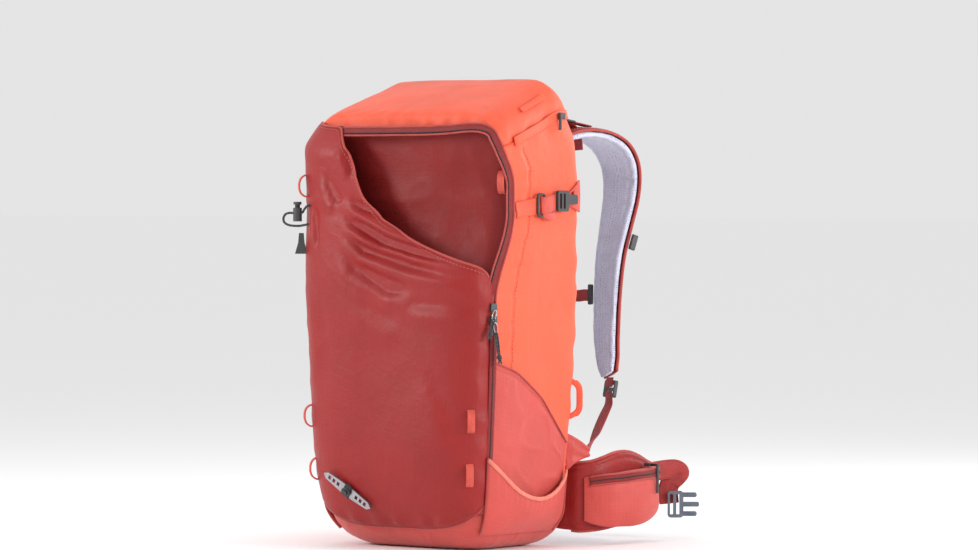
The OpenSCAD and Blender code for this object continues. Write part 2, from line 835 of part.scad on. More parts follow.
module zip_slider_at(z) {
    on_zip(z)
        translate([4, 0, 0])
            rotate([0, 0, 90])
                plate(8, 11, 2, 4);
}

module zip_pull_at(z, l, lean) {
    on_zip(z)
        translate([6, 0, 0])
            rotate([lean, 0, 0]) {
                translate([0, 0, -l]) cylinder(h = l - 2, r = 1.6, $fn = 24);
                translate([0, 0, -l - 4]) cylinder(h = 8, r = 3, $fn = 24);
            }
}

module slider_upper() {
    color(black_plastic) zip_slider_at(300);
}

module slider_lower() {
    color(black_plastic) zip_slider_at(286);
}

module pull_upper() {
    color(black_plastic) zip_pull_at(296, 30, -14);
}

module pull_lower() {
    color(black_plastic) zip_pull_at(281, 44, 8);
}

module lid_slider(side) {
    color(black_plastic)
        side_of(side)
            union() {
                translate([148.8, 52, 535.5]) rotate([0, 0, 94]) plate(11, 8, 2, 4);
                translate([147.8, 48, 518]) cylinder(h = 16, r = 1.8, $fn = 24);
            }
}

// --- Nodes -------------------------------------------------------------------

main_bag();
lid();
lid_zip();
front_lining();
front_flap();
front_zip();
bottom_panel();
side_guard(1);  // side_guard_right
side_guard(-1);  // side_guard_left
side_pocket(1);  // side_pocket_right
side_pocket(-1);  // side_pocket_left
back_panel();
frame_sheet();
frame_stays();
ski_loops();
toggle_anchor();
toggle_bar();
shaft_cord();
cord_lock_body();
cord_lock_spring();
cord_lock_button();
shaft_tab();
side_strap(1);  // side_strap_right
side_strap(-1);  // side_strap_left
side_hook(1);  // side_hook_right
side_hook(-1);  // side_hook_left
side_tabs();
back_edge_loops();
haul_loop();
wing(1);  // wing_right
wing(-1);  // wing_left
lower_webbing();
slider_upper();
slider_lower();
pull_upper();
pull_lower();
lid_slider(1);  // lid_slider_right
lid_slider(-1);  // lid_slider_left
strap_shell(1);  // strap_shell_right
strap_shell(-1);  // strap_shell_left
strap_pad(1);  // strap_pad_right
strap_pad(-1);  // strap_pad_left
strap_clips();
load_lifters();
ladder_lock(1);  // ladder_lock_right
ladder_lock(-1);  // ladder_lock_left
sternum_web();
sternum_buckle_male();
sternum_buckle_female();
sternum_sliders();
hip_fin(1);  // hip_fin_right
hip_fin(-1);  // hip_fin_left
hip_pocket(1);  // hip_pocket_right
hip_pocket(-1);  // hip_pocket_left
hip_web(1);  // hip_web_right
hip_web(-1);  // hip_web_left
hip_buckle_male();
hip_buckle_female();
hip_slider(1);  // hip_slider_right
hip_slider(-1);  // hip_slider_left
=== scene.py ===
"""Looks of the ski backpack: fabric, webbing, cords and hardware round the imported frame.

Lengths in this script are millimetres until a mesh is made; MM turns them into metres.
"""
import math
import bpy
from mathutils import Matrix, Vector, noise


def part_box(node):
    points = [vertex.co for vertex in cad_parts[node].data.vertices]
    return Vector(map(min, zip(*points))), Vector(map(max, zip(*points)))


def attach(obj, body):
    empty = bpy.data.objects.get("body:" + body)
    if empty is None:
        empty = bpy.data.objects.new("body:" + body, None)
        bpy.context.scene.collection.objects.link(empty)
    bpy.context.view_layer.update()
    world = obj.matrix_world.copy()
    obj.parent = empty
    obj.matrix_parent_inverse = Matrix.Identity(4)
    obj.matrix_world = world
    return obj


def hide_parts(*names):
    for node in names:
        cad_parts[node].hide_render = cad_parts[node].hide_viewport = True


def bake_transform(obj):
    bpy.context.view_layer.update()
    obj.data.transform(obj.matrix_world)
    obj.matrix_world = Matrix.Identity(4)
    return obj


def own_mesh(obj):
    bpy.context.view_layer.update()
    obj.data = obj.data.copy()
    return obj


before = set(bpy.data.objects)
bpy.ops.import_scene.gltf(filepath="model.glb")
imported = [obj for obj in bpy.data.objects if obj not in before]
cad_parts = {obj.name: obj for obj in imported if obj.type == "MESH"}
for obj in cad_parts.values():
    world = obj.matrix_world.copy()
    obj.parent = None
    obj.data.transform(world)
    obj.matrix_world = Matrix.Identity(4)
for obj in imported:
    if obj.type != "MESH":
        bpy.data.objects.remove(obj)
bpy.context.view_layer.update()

MM = 0.001
SIDES = (1, -1)
SIDED = ((1, "right"), (-1, "left"))

# --- The bag's form, as the frame has it ------------------------------------------------

HALF_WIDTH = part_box("main_bag")[1].x / MM
BAG_HEIGHT = 584
LOW_TAPER = 22
FRONT_DEPTH = 115
BACK_DEPTH = 95
LID_ROUND = 45
LID_SLOPE = 0.32
LID_FLAT_Y = 60
CENTRE_Y = -5
TOP_START = BAG_HEIGHT - LID_ROUND
SEAM_Z = TOP_START - 1
FABRIC = 2.8
FRONT_POWER = 4.5
BACK_POWER = 14
SHOULDER = 12


def clamp01(v):
    return min(1.0, max(0.0, v))


def smooth(a, b, v):
    t = clamp01((v - a) / (b - a))
    return t * t * (3 - 2 * t)


def mix(a, b, t):
    return a + (b - a) * t


def bump(distance, width):
    """A smooth hill of height 1 at distance 0."""
    return math.exp(-((distance / width) ** 2))


def lookup(v, table):
    """Value at v in a list of (position, value), straight between its entries."""
    if v <= table[0][0]:
        return table[0][1]
    for (a, fa), (b, fb) in zip(table, table[1:]):
        if v <= b:
            return mix(fa, fb, (v - a) / (b - a))
    return table[-1][1]


def base_in(size, span, z):
    z = max(z, 0)
    return 0 if z >= span else size * (1 - math.sqrt(max(0, 1 - ((span - z) / span) ** 2)))


def top_in(z):
    return 0 if z <= TOP_START else LID_ROUND - math.sqrt(max(0, LID_ROUND**2 - (z - TOP_START) ** 2))


def width_at(z):
    return HALF_WIDTH - LOW_TAPER * (1 - smooth(0, 330, z)) - base_in(50, 50, z) - top_in(z)


def front_at(z):
    return FRONT_DEPTH - base_in(80, 150, z) - top_in(z)


def back_at(z):
    return BACK_DEPTH - base_in(30, 35, z) - top_in(z)


def drop(y):
    return max(0, (LID_FLAT_Y - y) * LID_SLOPE)


def tilt(x, y, z):
    """Draws the shoulders in under the lid and slopes the lid down towards the front."""
    inward = SHOULDER * smooth(480, 560, z) * smooth(-80, 60, y)
    lowered = z - drop(y) * smooth(300, TOP_START, z)
    return Vector((x * (1 - inward / HALF_WIDTH), y - inward * smooth(0, 80, y), lowered))


def skin(a, z, out=0):
    """Point of the bag's outer skin at an angle round it, in degrees, and a nominal height."""
    c, s = math.cos(math.radians(a)), math.sin(math.radians(a))
    n = FRONT_POWER if s < 0 else BACK_POWER
    deep = (front_at(z) if s < 0 else back_at(z)) + out
    wide = width_at(z) + out
    r = ((abs(c) / wide) ** n + (abs(s) / deep) ** n) ** (-1 / n)
    return tilt(r * c, CENTRE_Y + r * s, z)


def zip_y(z):
    """Depth of the front pocket's seam at a height."""
    return -82 + 32 * smooth(300, 440, z) - 30 * smooth(480, 575, z)


def lining_bulge(z):
    """How far the load pushes the lining forward of that seam."""
    return 13 + 21 * smooth(300, 440, z) - 25 * smooth(480, 575, z)


def seam_angle(z):
    return math.degrees(math.atan2(CENTRE_Y - zip_y(z), width_at(z)))


def seam_edge(z, y):
    """Half width of the bag's front at a height and a depth."""
    return (1 - ((CENTRE_Y - y) / front_at(z)) ** FRONT_POWER) ** (1 / FRONT_POWER) * width_at(z)


def core(a, z, back=0):
    """The skin without the front pocket, whose back wall is the lining."""
    p = skin(a, z)
    line = zip_y(z)
    if p.y >= line + back:
        return p
    y = line - lining_bulge(z) * (1 - (p.x / seam_edge(z, line)) ** 2) + back
    return tilt(p.x, y, z)


# --- Camera -----------------------------------------------------------------------------

CAMERA_AZIMUTH = 38
CAMERA_ELEVATION = 1
CAMERA_DISTANCE = 6000
VIEW_WIDTH = 1222
VIEW_RIGHT = 57.5
VIEW_HEIGHT = 337.5
SENSOR = 36


def make_camera():
    az, el = math.radians(CAMERA_AZIMUTH), math.radians(CAMERA_ELEVATION)
    target = Vector((VIEW_RIGHT * math.cos(az), VIEW_RIGHT * math.sin(az), VIEW_HEIGHT))
    back = Vector((math.sin(az) * math.cos(el), -math.cos(az) * math.cos(el), math.sin(el)))
    data = bpy.data.cameras.new("camera")
    data.sensor_width = SENSOR
    data.lens = SENSOR * CAMERA_DISTANCE / VIEW_WIDTH
    data.clip_end = 100
    camera = bpy.data.objects.new("camera", data)
    camera.location = (target + back * CAMERA_DISTANCE) * MM
    camera.rotation_euler = (-back).to_track_quat("-Z", "Y").to_euler()
    bpy.context.scene.collection.objects.link(camera)
    bpy.context.scene.camera = camera


make_camera()


# --- Materials --------------------------------------------------------------------------

class Nodes:
    """Short ways to add and join a material's nodes."""

    def __init__(self, name):
        self.material = bpy.data.materials.new(name)
        self.material.use_nodes = True
        self.tree = self.material.node_tree
        self.shader = self.tree.nodes["Principled BSDF"]

    def feed(self, socket, value):
        """Sets a socket to a number, colour or vector, or links another node's output to it."""
        if isinstance(value, (int, float)):
            socket.default_value = value
        elif isinstance(value, tuple):
            socket.default_value = (*value, 1) if socket.type == "RGBA" else value
        elif value is not None:
            self.tree.links.new(value, socket)

    def add(self, kind, inputs={}, **values):
        """Adds a node with its inputs and properties, and gives its outputs."""
        node = self.tree.nodes.new("ShaderNode" + kind)
        for key, value in values.items():
            setattr(node, key, value)
        for key, value in inputs.items():
            self.feed(node.inputs[key], value)
        return node.outputs

    def set(self, **values):
        """Sets or links inputs of the shader, named with _ for each space."""
        for name, value in values.items():
            self.feed(self.shader.inputs[name.replace("_", " ")], value)

    def math(self, operation, a, b=None):
        return self.add("Math", {0: a, 1: b}, operation=operation)[0]

    def uv(self):
        return self.add("UVMap")["UV"]

    def split(self):
        """The two coordinates of the UV map, which are millimetres on the piece."""
        parts = self.add("SeparateXYZ", {0: self.uv()})
        return parts[0], parts[1]

    def place(self):
        return self.add("TexCoord")["Object"]

    def noise(self, vector, scale, detail=3, roughness=0.5):
        inputs = {"Vector": vector, "Scale": scale, "Detail": detail, "Roughness": roughness}
        return self.add("TexNoise", inputs)["Fac"]

    def spots(self, scale, detail=3, roughness=0.5):
        return self.noise(self.place(), scale, detail, roughness)

    def ramp(self, fac, *stops):
        node = self.tree.nodes.new("ShaderNodeValToRGB")
        for element, (position, colour) in zip(node.color_ramp.elements, stops):
            element.position = position
            element.color = (*colour, 1)
        self.feed(node.inputs["Fac"], fac)
        return node.outputs["Color"]

    def tone(self, colour, scale, low, high, detail=3, roughness=0.5, first=0.3):
        """The colour in darker and lighter patches."""
        spots = self.spots(scale, detail, roughness)
        return self.ramp(spots, (first, shade(colour, low)), (0.7, shade(colour, high)))

    def blend(self, fac, a, b, mode="MIX"):
        return self.add("Mix", {0: fac, 6: a, 7: b}, data_type="RGBA", blend_type=mode)[2]

    def bump(self, height, strength, distance, normal=None):
        inputs = {"Height": height, "Strength": strength, "Distance": distance, "Normal": normal}
        return self.add("Bump", inputs)["Normal"]

    def rough(self, fac, reach, base):
        self.set(Roughness=self.math("ADD", self.math("MULTIPLY", fac, reach), base))


def shade(colour, k):
    return tuple(clamp01(c * k) for c in colour)


def stripes(n, coordinate, period):
    """A wave from 0 to 1 along one coordinate, with a period in millimetres."""
    angle = n.math("MULTIPLY", coordinate, 2 * math.pi / period)
    return n.math("MULTIPLY_ADD", n.math("SINE", angle), 0.5)


def lines(n, coordinate, period, width):
    """Narrow lines, 1 on the line and 0 between, at every period."""
    inputs = {"Value": n.math("PINGPONG", coordinate, period / 2), "From Min": 0, "From Max": width,
              "To Min": 1, "To Max": 0}
    return n.add("MapRange", inputs, interpolation_type="SMOOTHSTEP")["Result"]


RIPSTOP_GRID = 5.0
RIPSTOP_WIDTH = 0.45
THREAD = 0.9
WHITE = (1, 1, 1)


def fabric(name, colour, rough, sheen=0.06, crumple=0.22):
    """Coated woven cloth: threads, ripstop lines (real raised threads, with painted sheen on them), patchy
    dye and small creases.
    """
    n = Nodes(name)
    u, v = n.split()
    ripstop = n.math("MAXIMUM", *[lines(n, side, RIPSTOP_GRID, RIPSTOP_WIDTH) for side in (u, v)])
    dye = n.tone(colour, 14, 0.92, 1.08, 4, 0.55)
    # Painted sheen: the ripstop lines, also raised in the bump, are painted lighter than the cloth around
    # them.
    dye = n.blend(n.math("MULTIPLY", ripstop, 0.22), dye, shade(colour, 1.45))
    fleck = n.ramp(n.noise(n.uv(), 0.9, 2), (0.35, shade(WHITE, 0.25)), (0.65, WHITE))
    weave = n.math("MULTIPLY", n.math("ADD", stripes(n, u, THREAD), stripes(n, v, THREAD)), 0.5)
    height = n.math("ADD", weave, n.math("MULTIPLY", ripstop, 0.8))
    creases = n.bump(n.spots(75, 4, 0.6), crumple, 0.004)
    n.set(Base_Color=n.blend(0.16, dye, fleck, "MULTIPLY"), Normal=n.bump(height, 0.35, 0.00022, creases),
          Sheen_Weight=sheen, Sheen_Roughness=0.45, Specular_IOR_Level=0.36)
    n.rough(n.spots(30), 0.2, rough - 0.1)
    return n.material


def webbing(name, colour, rib=1.6):
    """Ribbed woven tape; u runs along the tape, v across it."""
    n = Nodes(name)
    u, v = n.split()
    ribs = stripes(n, n.math("ADD", u, n.math("PINGPONG", v, rib * 1.5)), rib)
    height = n.math("ADD", ribs, n.math("MULTIPLY", stripes(n, v, rib * 1.5), 0.6))
    dye = n.blend(n.math("MULTIPLY", ribs, 0.4), n.tone(colour, 60, 0.8, 1.15), shade(colour, 1.3))
    n.set(Base_Color=dye, Normal=n.bump(height, 0.6, 0.0004), Roughness=0.6, Sheen_Weight=0.08)
    return n.material


def spacer_mesh(name, colour, cell=2.4, hole=0.45):
    """Knitted air mesh: soft cells with small dark holes."""
    n = Nodes(name)
    cells = {"Vector": n.uv(), "Scale": 1 / cell, "Randomness": 0.25}
    near = n.add("TexVoronoi", cells, feature="F1")["Distance"]
    pit = n.ramp(near, (0.12, shade(WHITE, hole)), (0.32, WHITE))
    dye = n.blend(1.0, n.tone(colour, 25, 0.9, 1.06, 4), pit, "MULTIPLY")
    soft = n.bump(n.spots(90, 4), 0.25, 0.003)
    n.set(Base_Color=dye, Normal=n.bump(near, 0.7, 0.0008, soft), Roughness=0.85, Sheen_Weight=0.15)
    return n.material


def plastic(name, colour, rough=0.42):
    """Moulded acetal with a fine spark-eroded grain, and convex edges painted lighter as a painted highlight.
    """
    n = Nodes(name)
    # Painted highlight: convex edges, found by pointiness, are mixed part way towards a light grey.
    edge = n.ramp(n.add("NewGeometry")["Pointiness"], (0.5, shade(WHITE, 0)), (0.58, WHITE))
    light = tuple(mix(c, 0.35, 0.35) for c in colour)
    dye = n.blend(n.math("MULTIPLY", edge, 0.35), n.tone(colour, 120, 0.85, 1.2, first=0.35), light)
    n.set(Base_Color=dye, Normal=n.bump(n.spots(1800, 2), 0.25, 0.0002))
    n.rough(n.spots(200), 0.18, rough - 0.09)
    return n.material


def metal(name, colour, rough=0.3):
    """Bead-blasted light metal with fine scratches."""
    n = Nodes(name)
    marks = n.noise(n.add("Mapping", {"Vector": n.place(), "Scale": (900, 60, 900)})[0], 1, 4)
    n.set(Base_Color=n.tone(colour, 80, 0.85, 1.1), Metallic=1.0, Normal=n.bump(marks, 0.2, 0.0002))
    n.rough(marks, 0.25, rough - 0.1)
    return n.material


def braid(name, colour):
    """Braided elastic cord: slanting strands and a grey tracer; u runs along, v round it."""
    n = Nodes(name)
    u, v = n.split()
    slant = n.math("ADD", u, v)
    strands = n.math("MAXIMUM", stripes(n, slant, 1.3), stripes(n, n.math("SUBTRACT", u, v), 1.3))
    tracer = n.math("MULTIPLY", lines(n, slant, 5.2, 0.7), 0.5)
    tone = n.blend(n.math("MULTIPLY", strands, 0.5), shade(colour, 0.6), shade(colour, 1.6))
    n.set(Base_Color=n.blend(tracer, tone, (0.22, 0.23, 0.25)), Normal=n.bump(strands, 0.8, 0.0004),
          Roughness=0.6, Sheen_Weight=0.2)
    return n.material


ORANGE = (0.92, 0.115, 0.05)
REDWOOD = (0.31, 0.012, 0.011)
GUARD = (0.60, 0.075, 0.062)
CORAL = (0.62, 0.075, 0.05)
HEM = (0.76, 0.20, 0.14)
DARK_WEB = (0.36, 0.028, 0.026)
MESH_GREY = (0.66, 0.69, 0.84)
BACK_GREY = (0.15, 0.16, 0.20)
PAD_GREY = (0.34, 0.36, 0.43)
EDGE_GREY = (0.45, 0.47, 0.56)
BINDING = (0.46, 0.055, 0.045)
THREAD_RED = (0.60, 0.13, 0.10)
CORD_BLACK = (0.02, 0.02, 0.024)
WIRE_GREY = (0.5, 0.5, 0.52)
BLACK = (0.012, 0.013, 0.016)
STEEL_BLUE = (0.085, 0.11, 0.15)
SILVER = (0.42, 0.43, 0.46)

MAT = {
    "orange": fabric("orange_ripstop", ORANGE, rough=0.46),
    "red": fabric("redwood_cloth", REDWOOD, rough=0.43, sheen=0.04, crumple=0.24),
    "guard": fabric("guard_cloth", GUARD, rough=0.44, sheen=0.14),
    "lining": fabric("lining_cloth", shade(REDWOOD, 0.8), rough=0.55),
    "tape": webbing("zip_tape", shade(REDWOOD, 0.75), rib=1.0),
    "coral": webbing("coral_webbing", CORAL),
    "hem": webbing("hem_elastic", HEM, rib=1.2),
    "orange_web": webbing("orange_webbing", shade(ORANGE, 0.85)),
    "dark_web": webbing("dark_webbing", DARK_WEB),
    "binding": webbing("edge_binding", BINDING, rib=1.1),
    "grey": spacer_mesh("light_spacer_mesh", MESH_GREY),
    "back": spacer_mesh("air_mesh", BACK_GREY, cell=4.5, hole=0.25),
    "pad": spacer_mesh("pad_mesh", PAD_GREY, cell=3.6, hole=0.35),
    "grey_edge": webbing("grey_binding", EDGE_GREY, rib=1.1),
    "black": plastic("black_acetal", BLACK),
    "buckle": plastic("buckle_acetal", STEEL_BLUE, rough=0.36),
    "silver": metal("light_metal", SILVER),
    "wire": metal("bright_wire", WIRE_GREY, rough=0.22),
    "cord": braid("black_braid", CORD_BLACK),
    "black_web": webbing("black_webbing", CORD_BLACK),
    "thread": webbing("thread", THREAD_RED, rib=0.6),
}


# --- Mesh making ------------------------------------------------------------------------

def add_object(name, points, faces, material, uvs):
    """A smooth-shaded mesh object from points in millimetres and one UV per point."""
    mesh = bpy.data.meshes.new(name)
    mesh.from_pydata([Vector(p) * MM for p in points], [], faces)
    mesh.update()
    layer = mesh.uv_layers.new(name="UVMap")
    for loop in mesh.loops:
        layer.data[loop.index].uv = uvs[loop.vertex_index]
    mesh.polygons.foreach_set("use_smooth", [True] * len(mesh.polygons))
    mesh.materials.append(MAT[material])
    obj = bpy.data.objects.new(name, mesh)
    bpy.context.scene.collection.objects.link(obj)
    return obj


def running(points):
    """Distance along a run of points, one value each."""
    total = [0.0]
    for a, b in zip(points, points[1:]):
        total.append(total[-1] + (b - a).length)
    return total


def heading(path, k):
    """Direction of a path at its point k."""
    return (path[min(k + 1, len(path) - 1)] - path[max(k - 1, 0)]).normalized()


def around(count, extra=1):
    """Angles in even steps round a circle, closed by the extra ones."""
    return [2 * math.pi * k / count for k in range(count + extra)]


def ring_faces(rings, sides, closed=True, start=0):
    """Faces between rows of points; closed rows are rings, with a flat face at both ends."""
    faces = []
    for r in range(rings - 1):
        for c in range(sides if closed else sides - 1):
            a, b = start + r * sides + c, start + r * sides + (c + 1) % sides
            faces.append((a, b, b + sides, a + sides))
    if closed:
        faces.append(tuple(range(start + sides - 1, start - 1, -1)))
        faces.append(tuple(start + (rings - 1) * sides + c for c in range(sides)))
    return faces


def grid_of(cols, rows, point):
    """Rows of points from a function of the shares across and up."""
    return [[point(c / cols, r / rows) for c in range(cols + 1)] for r in range(rows + 1)]


def thicken(obj, thick):
    """Gives a sheet its thickness, inwards from the face it has."""
    solid = obj.modifiers.new("thickness", "SOLIDIFY")
    solid.thickness = thick * MM
    solid.offset = -1
    return obj


def grid_object(name, rows, material, closed=False, thick=0):
    """A sheet through rows of points, or a closed body through rings of them."""
    height, width = len(rows), len(rows[0])
    along = running(rows[height // 2])
    up = running([row[width // 2] for row in rows])
    points = [p for row in rows for p in row]
    uvs = [(along[c], up[r]) for r in range(height) for c in range(width)]
    obj = add_object(name, points, ring_faces(height, width, closed), material, uvs)
    return thicken(obj, thick) if thick else obj


def apply_modifiers(obj):
    """Bakes an object's modifiers into its mesh."""
    graph = bpy.context.evaluated_depsgraph_get()
    graph.update()
    mesh = bpy.data.meshes.new_from_object(obj.evaluated_get(graph))
    obj.modifiers.clear()
    obj.data = mesh
    return obj


def join(name, objects):
    """One object from several, kept under a new name."""
    bpy.context.view_layer.update()
    for o in bpy.context.selected_objects:
        o.select_set(False)
    for o in objects:
        if o.modifiers:
            apply_modifiers(o)
        o.select_set(True)
    bpy.context.view_layer.objects.active = objects[0]
    bpy.ops.object.join()
    objects[0].name = name
    objects[0].select_set(False)
    return objects[0]


def catmull(p0, p1, p2, p3, t):
    """Catmull-Rom value at share t of the way from p1 to p2."""
    return 0.5 * (2 * p1 + (p2 - p0) * t + (2 * p0 - 5 * p1 + 4 * p2 - p3) * t * t
                  + (3 * p1 - p0 - 3 * p2 + p3) * t**3)


def curve_through(points, steps):
    """Catmull-Rom points through the given ones, with steps between each pair."""
    pts = [Vector(p) for p in points]
    ext = [pts[0] * 2 - pts[1], *pts, pts[-1] * 2 - pts[-2]]
    out = [catmull(*ext[k : k + 4], i / steps) for k in range(len(pts) - 1) for i in range(steps)]
    return [*out, pts[-1]]


def root_sign(v, e):
    return math.copysign(abs(v) ** e, v)


def super_round(a, edge, crown):
    """A point of a rounded oblong of half sizes 1 at an angle; small powers make it squarer."""
    return root_sign(math.cos(a), edge), root_sign(math.sin(a), crown)


def value_at(values, k, last):
    """Value at step k of last from a number or from a list spread over the run."""
    if isinstance(values, (int, float)):
        return values
    t = k / last * (len(values) - 1)
    i = min(int(t), len(values) - 2)
    return mix(values[i], values[i + 1], t - i)


def ribbon(name, line, widths, half_w, half_t, material, steps=6, sides=20, shift=0, dent=None,
           edge=0.5, crown=0.7):
    """A flat strap along a line; widths are directions across it, dent(s, across) moves its face."""
    path, across = curve_through(line, steps), curve_through(widths, steps)
    last = len(path) - 1
    lengths = running(path)
    points, uvs = [], []
    for k, c in enumerate(path):
        t = heading(path, k)
        v = t.cross(across[k].normalized()).normalized()
        u = v.cross(t).normalized()
        hw, ht = value_at(half_w, k, last), value_at(half_t, k, last)
        for a in around(sides, 0):
            x, y = super_round(a, edge, crown)
            push = dent(lengths[k], x, 1 if y > 0 else -1) if dent else 0
            rise = shift + ht * y + (push if y > 0 else -push) * (1 - abs(x) ** 6)
            points.append(c + v * rise + u * hw * x)
            uvs.append((lengths[k], hw * math.cos(a)))
    return add_object(name, points, ring_faces(last + 1, sides), material, uvs)


def tube(name, line, radius, material, steps=6, sides=12):
    """A round cord along a line, with its ends closed."""
    path = curve_through(line, steps)
    lengths = running(path)
    points, uvs = [], []
    u = heading(path[:2], 0).orthogonal().normalized()
    for k, c in enumerate(path):
        t = heading(path, k)
        u = (u - t * u.dot(t)).normalized()
        w = t.cross(u)
        for a in around(sides, 0):
            points.append(c + (u * math.cos(a) + w * math.sin(a)) * radius)
            uvs.append((lengths[k], radius * a))
    return add_object(name, points, ring_faces(len(path), sides), material, uvs)


BEAD = ((-0.5, 0.3), (-0.32, 0.9), (0, 1.0), (0.32, 0.9), (0.5, 0.3))


def stitches(name, path, normals, length=3.2, gap=1.6, radius=0.42, lift=0.1, material="thread"):
    """A row of sewn stitches: one small rounded bead of thread for each, in one mesh."""
    points, faces = [], []
    lengths = running(path)
    s = 0.0
    ring = 6
    while s + length < lengths[-1]:
        mid = s + length / 2
        k = next(i for i in range(1, len(lengths)) if lengths[i] >= mid)
        t = (mid - lengths[k - 1]) / max(1e-6, lengths[k] - lengths[k - 1])
        c = path[k - 1].lerp(path[k], t)
        along = (path[k] - path[k - 1]).normalized()
        n = normals[k].normalized()
        side = n.cross(along).normalized()
        faces += ring_faces(len(BEAD), ring, start=len(points))
        for step, size in BEAD:
            for a in around(ring, 0):
                up, out = lift + radius * size * math.sin(a), radius * size * math.cos(a)
                points.append(c + n * up + along * length * step + side * out)
        s += length + gap
    return add_object(name, points, faces, material, [(p.x, p.z) for p in points])


def zip_coil(name, path, normals, radius):
    """The coil of a zip: short black beads close together."""
    return stitches(name, path, normals, 1.5, 0.35, radius, material="black_web")


def offset(points, across, normals, side, rise):
    """A run of points moved sideways and out."""
    return [p + w * side + n * rise for p, w, n in zip(points, across, normals)]


def ridged(p, size, seed=0.0, sharp=3.0):
    """Creases: 1 along wandering lines, falling to 0 away from them."""
    q = Vector((p[0] / size + seed, p[1] / size - seed, p[2] / size + 2 * seed))
    bend = Vector((noise.noise(q * 0.6), noise.noise(q * 0.6 + Vector((7, 3, 1))), 0)) * 0.7
    return max(0.0, 1 - sharp * abs(noise.noise(q + bend)))


def billow(p, size, seed=0.0):
    """Broad soft swelling from -1 to 1."""
    return noise.noise(Vector((p[0] / size + seed, p[1] / size, p[2] / size - seed)))


def outward(a, z):
    """Unit normal of the bag's skin."""
    du = skin(a + 0.5, z) - skin(a - 0.5, z)
    dv = skin(a, z + 1) - skin(a, z - 1)
    return du.cross(dv).normalized()


def even_angles(count, z=200):
    """Angles round the bag with even steps along its girth."""
    fine = [skin(q * 0.5, z) for q in range(721)]
    lengths = running(fine)
    out, k = [], 0
    for i in range(count):
        want = lengths[-1] * i / count
        while lengths[k + 1] < want:
            k += 1
        t = (want - lengths[k]) / (lengths[k + 1] - lengths[k])
        out.append((k + t) * 0.5)
    return out


def cad(node, material, bevel=0.0):
    """A CAD piece that stays as it is, with a finished material and softened edges."""
    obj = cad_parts[node]
    obj.data.materials.clear()
    obj.data.materials.append(MAT[material])
    if bevel:
        modifier = obj.modifiers.new("soft_edges", "BEVEL")
        modifier.width = bevel * MM
        modifier.segments = 2
        modifier.limit_method = "ANGLE"
        modifier.angle_limit = math.radians(35)
    return obj


def stand_for(obj, body, *nodes, slot):
    """The piece rides on a body and replaces the frame's plain nodes."""
    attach(obj, body)
    if nodes:
        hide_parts(*nodes)
    return obj


def piping(name, line, radius, slot, steps=2):
    """A cord-filled edge binding along a line on the bag."""
    return stand_for(tube(name, line, radius, "binding", steps, 8), "root", slot=slot)


def mirrored(obj, name):
    """The left-hand twin of a right-hand piece."""
    if obj.modifiers:
        apply_modifiers(obj)
    mesh = obj.data.copy()
    mesh.transform(Matrix.Scale(-1, 4, (1, 0, 0)))
    mesh.flip_normals()
    twin = bpy.data.objects.new(name, mesh)
    bpy.context.scene.collection.objects.link(twin)
    return twin


def both(obj, body, node, slot):
    """A right-hand piece and its left-hand twin; body and node name the side with {}."""
    stem = obj.name
    if obj.modifiers:
        apply_modifiers(obj)
    obj.name = stem + "_right"
    twin = mirrored(obj, stem + "_left")
    for piece, side in ((obj, "right"), (twin, "left")):
        stand_for(piece, body.format(side), *([node.format(side)] if node else []), slot=slot)
    return obj, twin


def on_segment(x, z, seg):
    """Distance from a point to a segment, the same with a sign for its side, and the share along it."""
    x0, z0, x1, z1 = seg
    dx, dz = x1 - x0, z1 - z0
    t = clamp01(((x - x0) * dx + (z - z0) * dz) / (dx * dx + dz * dz))
    x, z = x - x0 - t * dx, z - z0 - t * dz
    return math.hypot(x, z), (x * dz - z * dx) / math.hypot(dx, dz), t


def fold(x, z, line, deep, wide):
    """A soft valley along a line of points with a ridge above it, fading at both ends."""
    spans = len(line) // 2 - 1
    near = [(*on_segment(x, z, line[2 * k : 2 * k + 4]), k) for k in range(spans)]
    gap, d, t, k = min(near, key=lambda found: found[0])
    if gap > 5 * wide:
        return 0.0
    t = (k + t) / spans
    ends = smooth(0, 0.3, t) * (1 - smooth(0.7, 1, t))
    fade = max(ends, 0.12) * bump(max(0.0, gap - abs(d)), wide)
    return (-deep * bump(d, wide) + 0.7 * deep * bump(d - 1.8 * wide, 1.2 * wide)) * fade


# --- Bag body, lid and base -------------------------------------------------------------

ROUND_THE_BAG = 300
SHELL_BACK = 2.8
RECESS_Y = 80.8
STRIP = 32
SEAM_TO_STITCH = 3.4
BODY_LEVELS = [46 + 3.9 * k for k in range(126)] + [537]
LID_LEVELS = [min(538.5 + 2.3 * k, BAG_HEIGHT) for k in range(20)]
CROWN_SHARES = (0.92, 0.82, 0.7, 0.56, 0.42, 0.28, 0.14)
CROWN_RISE = 5


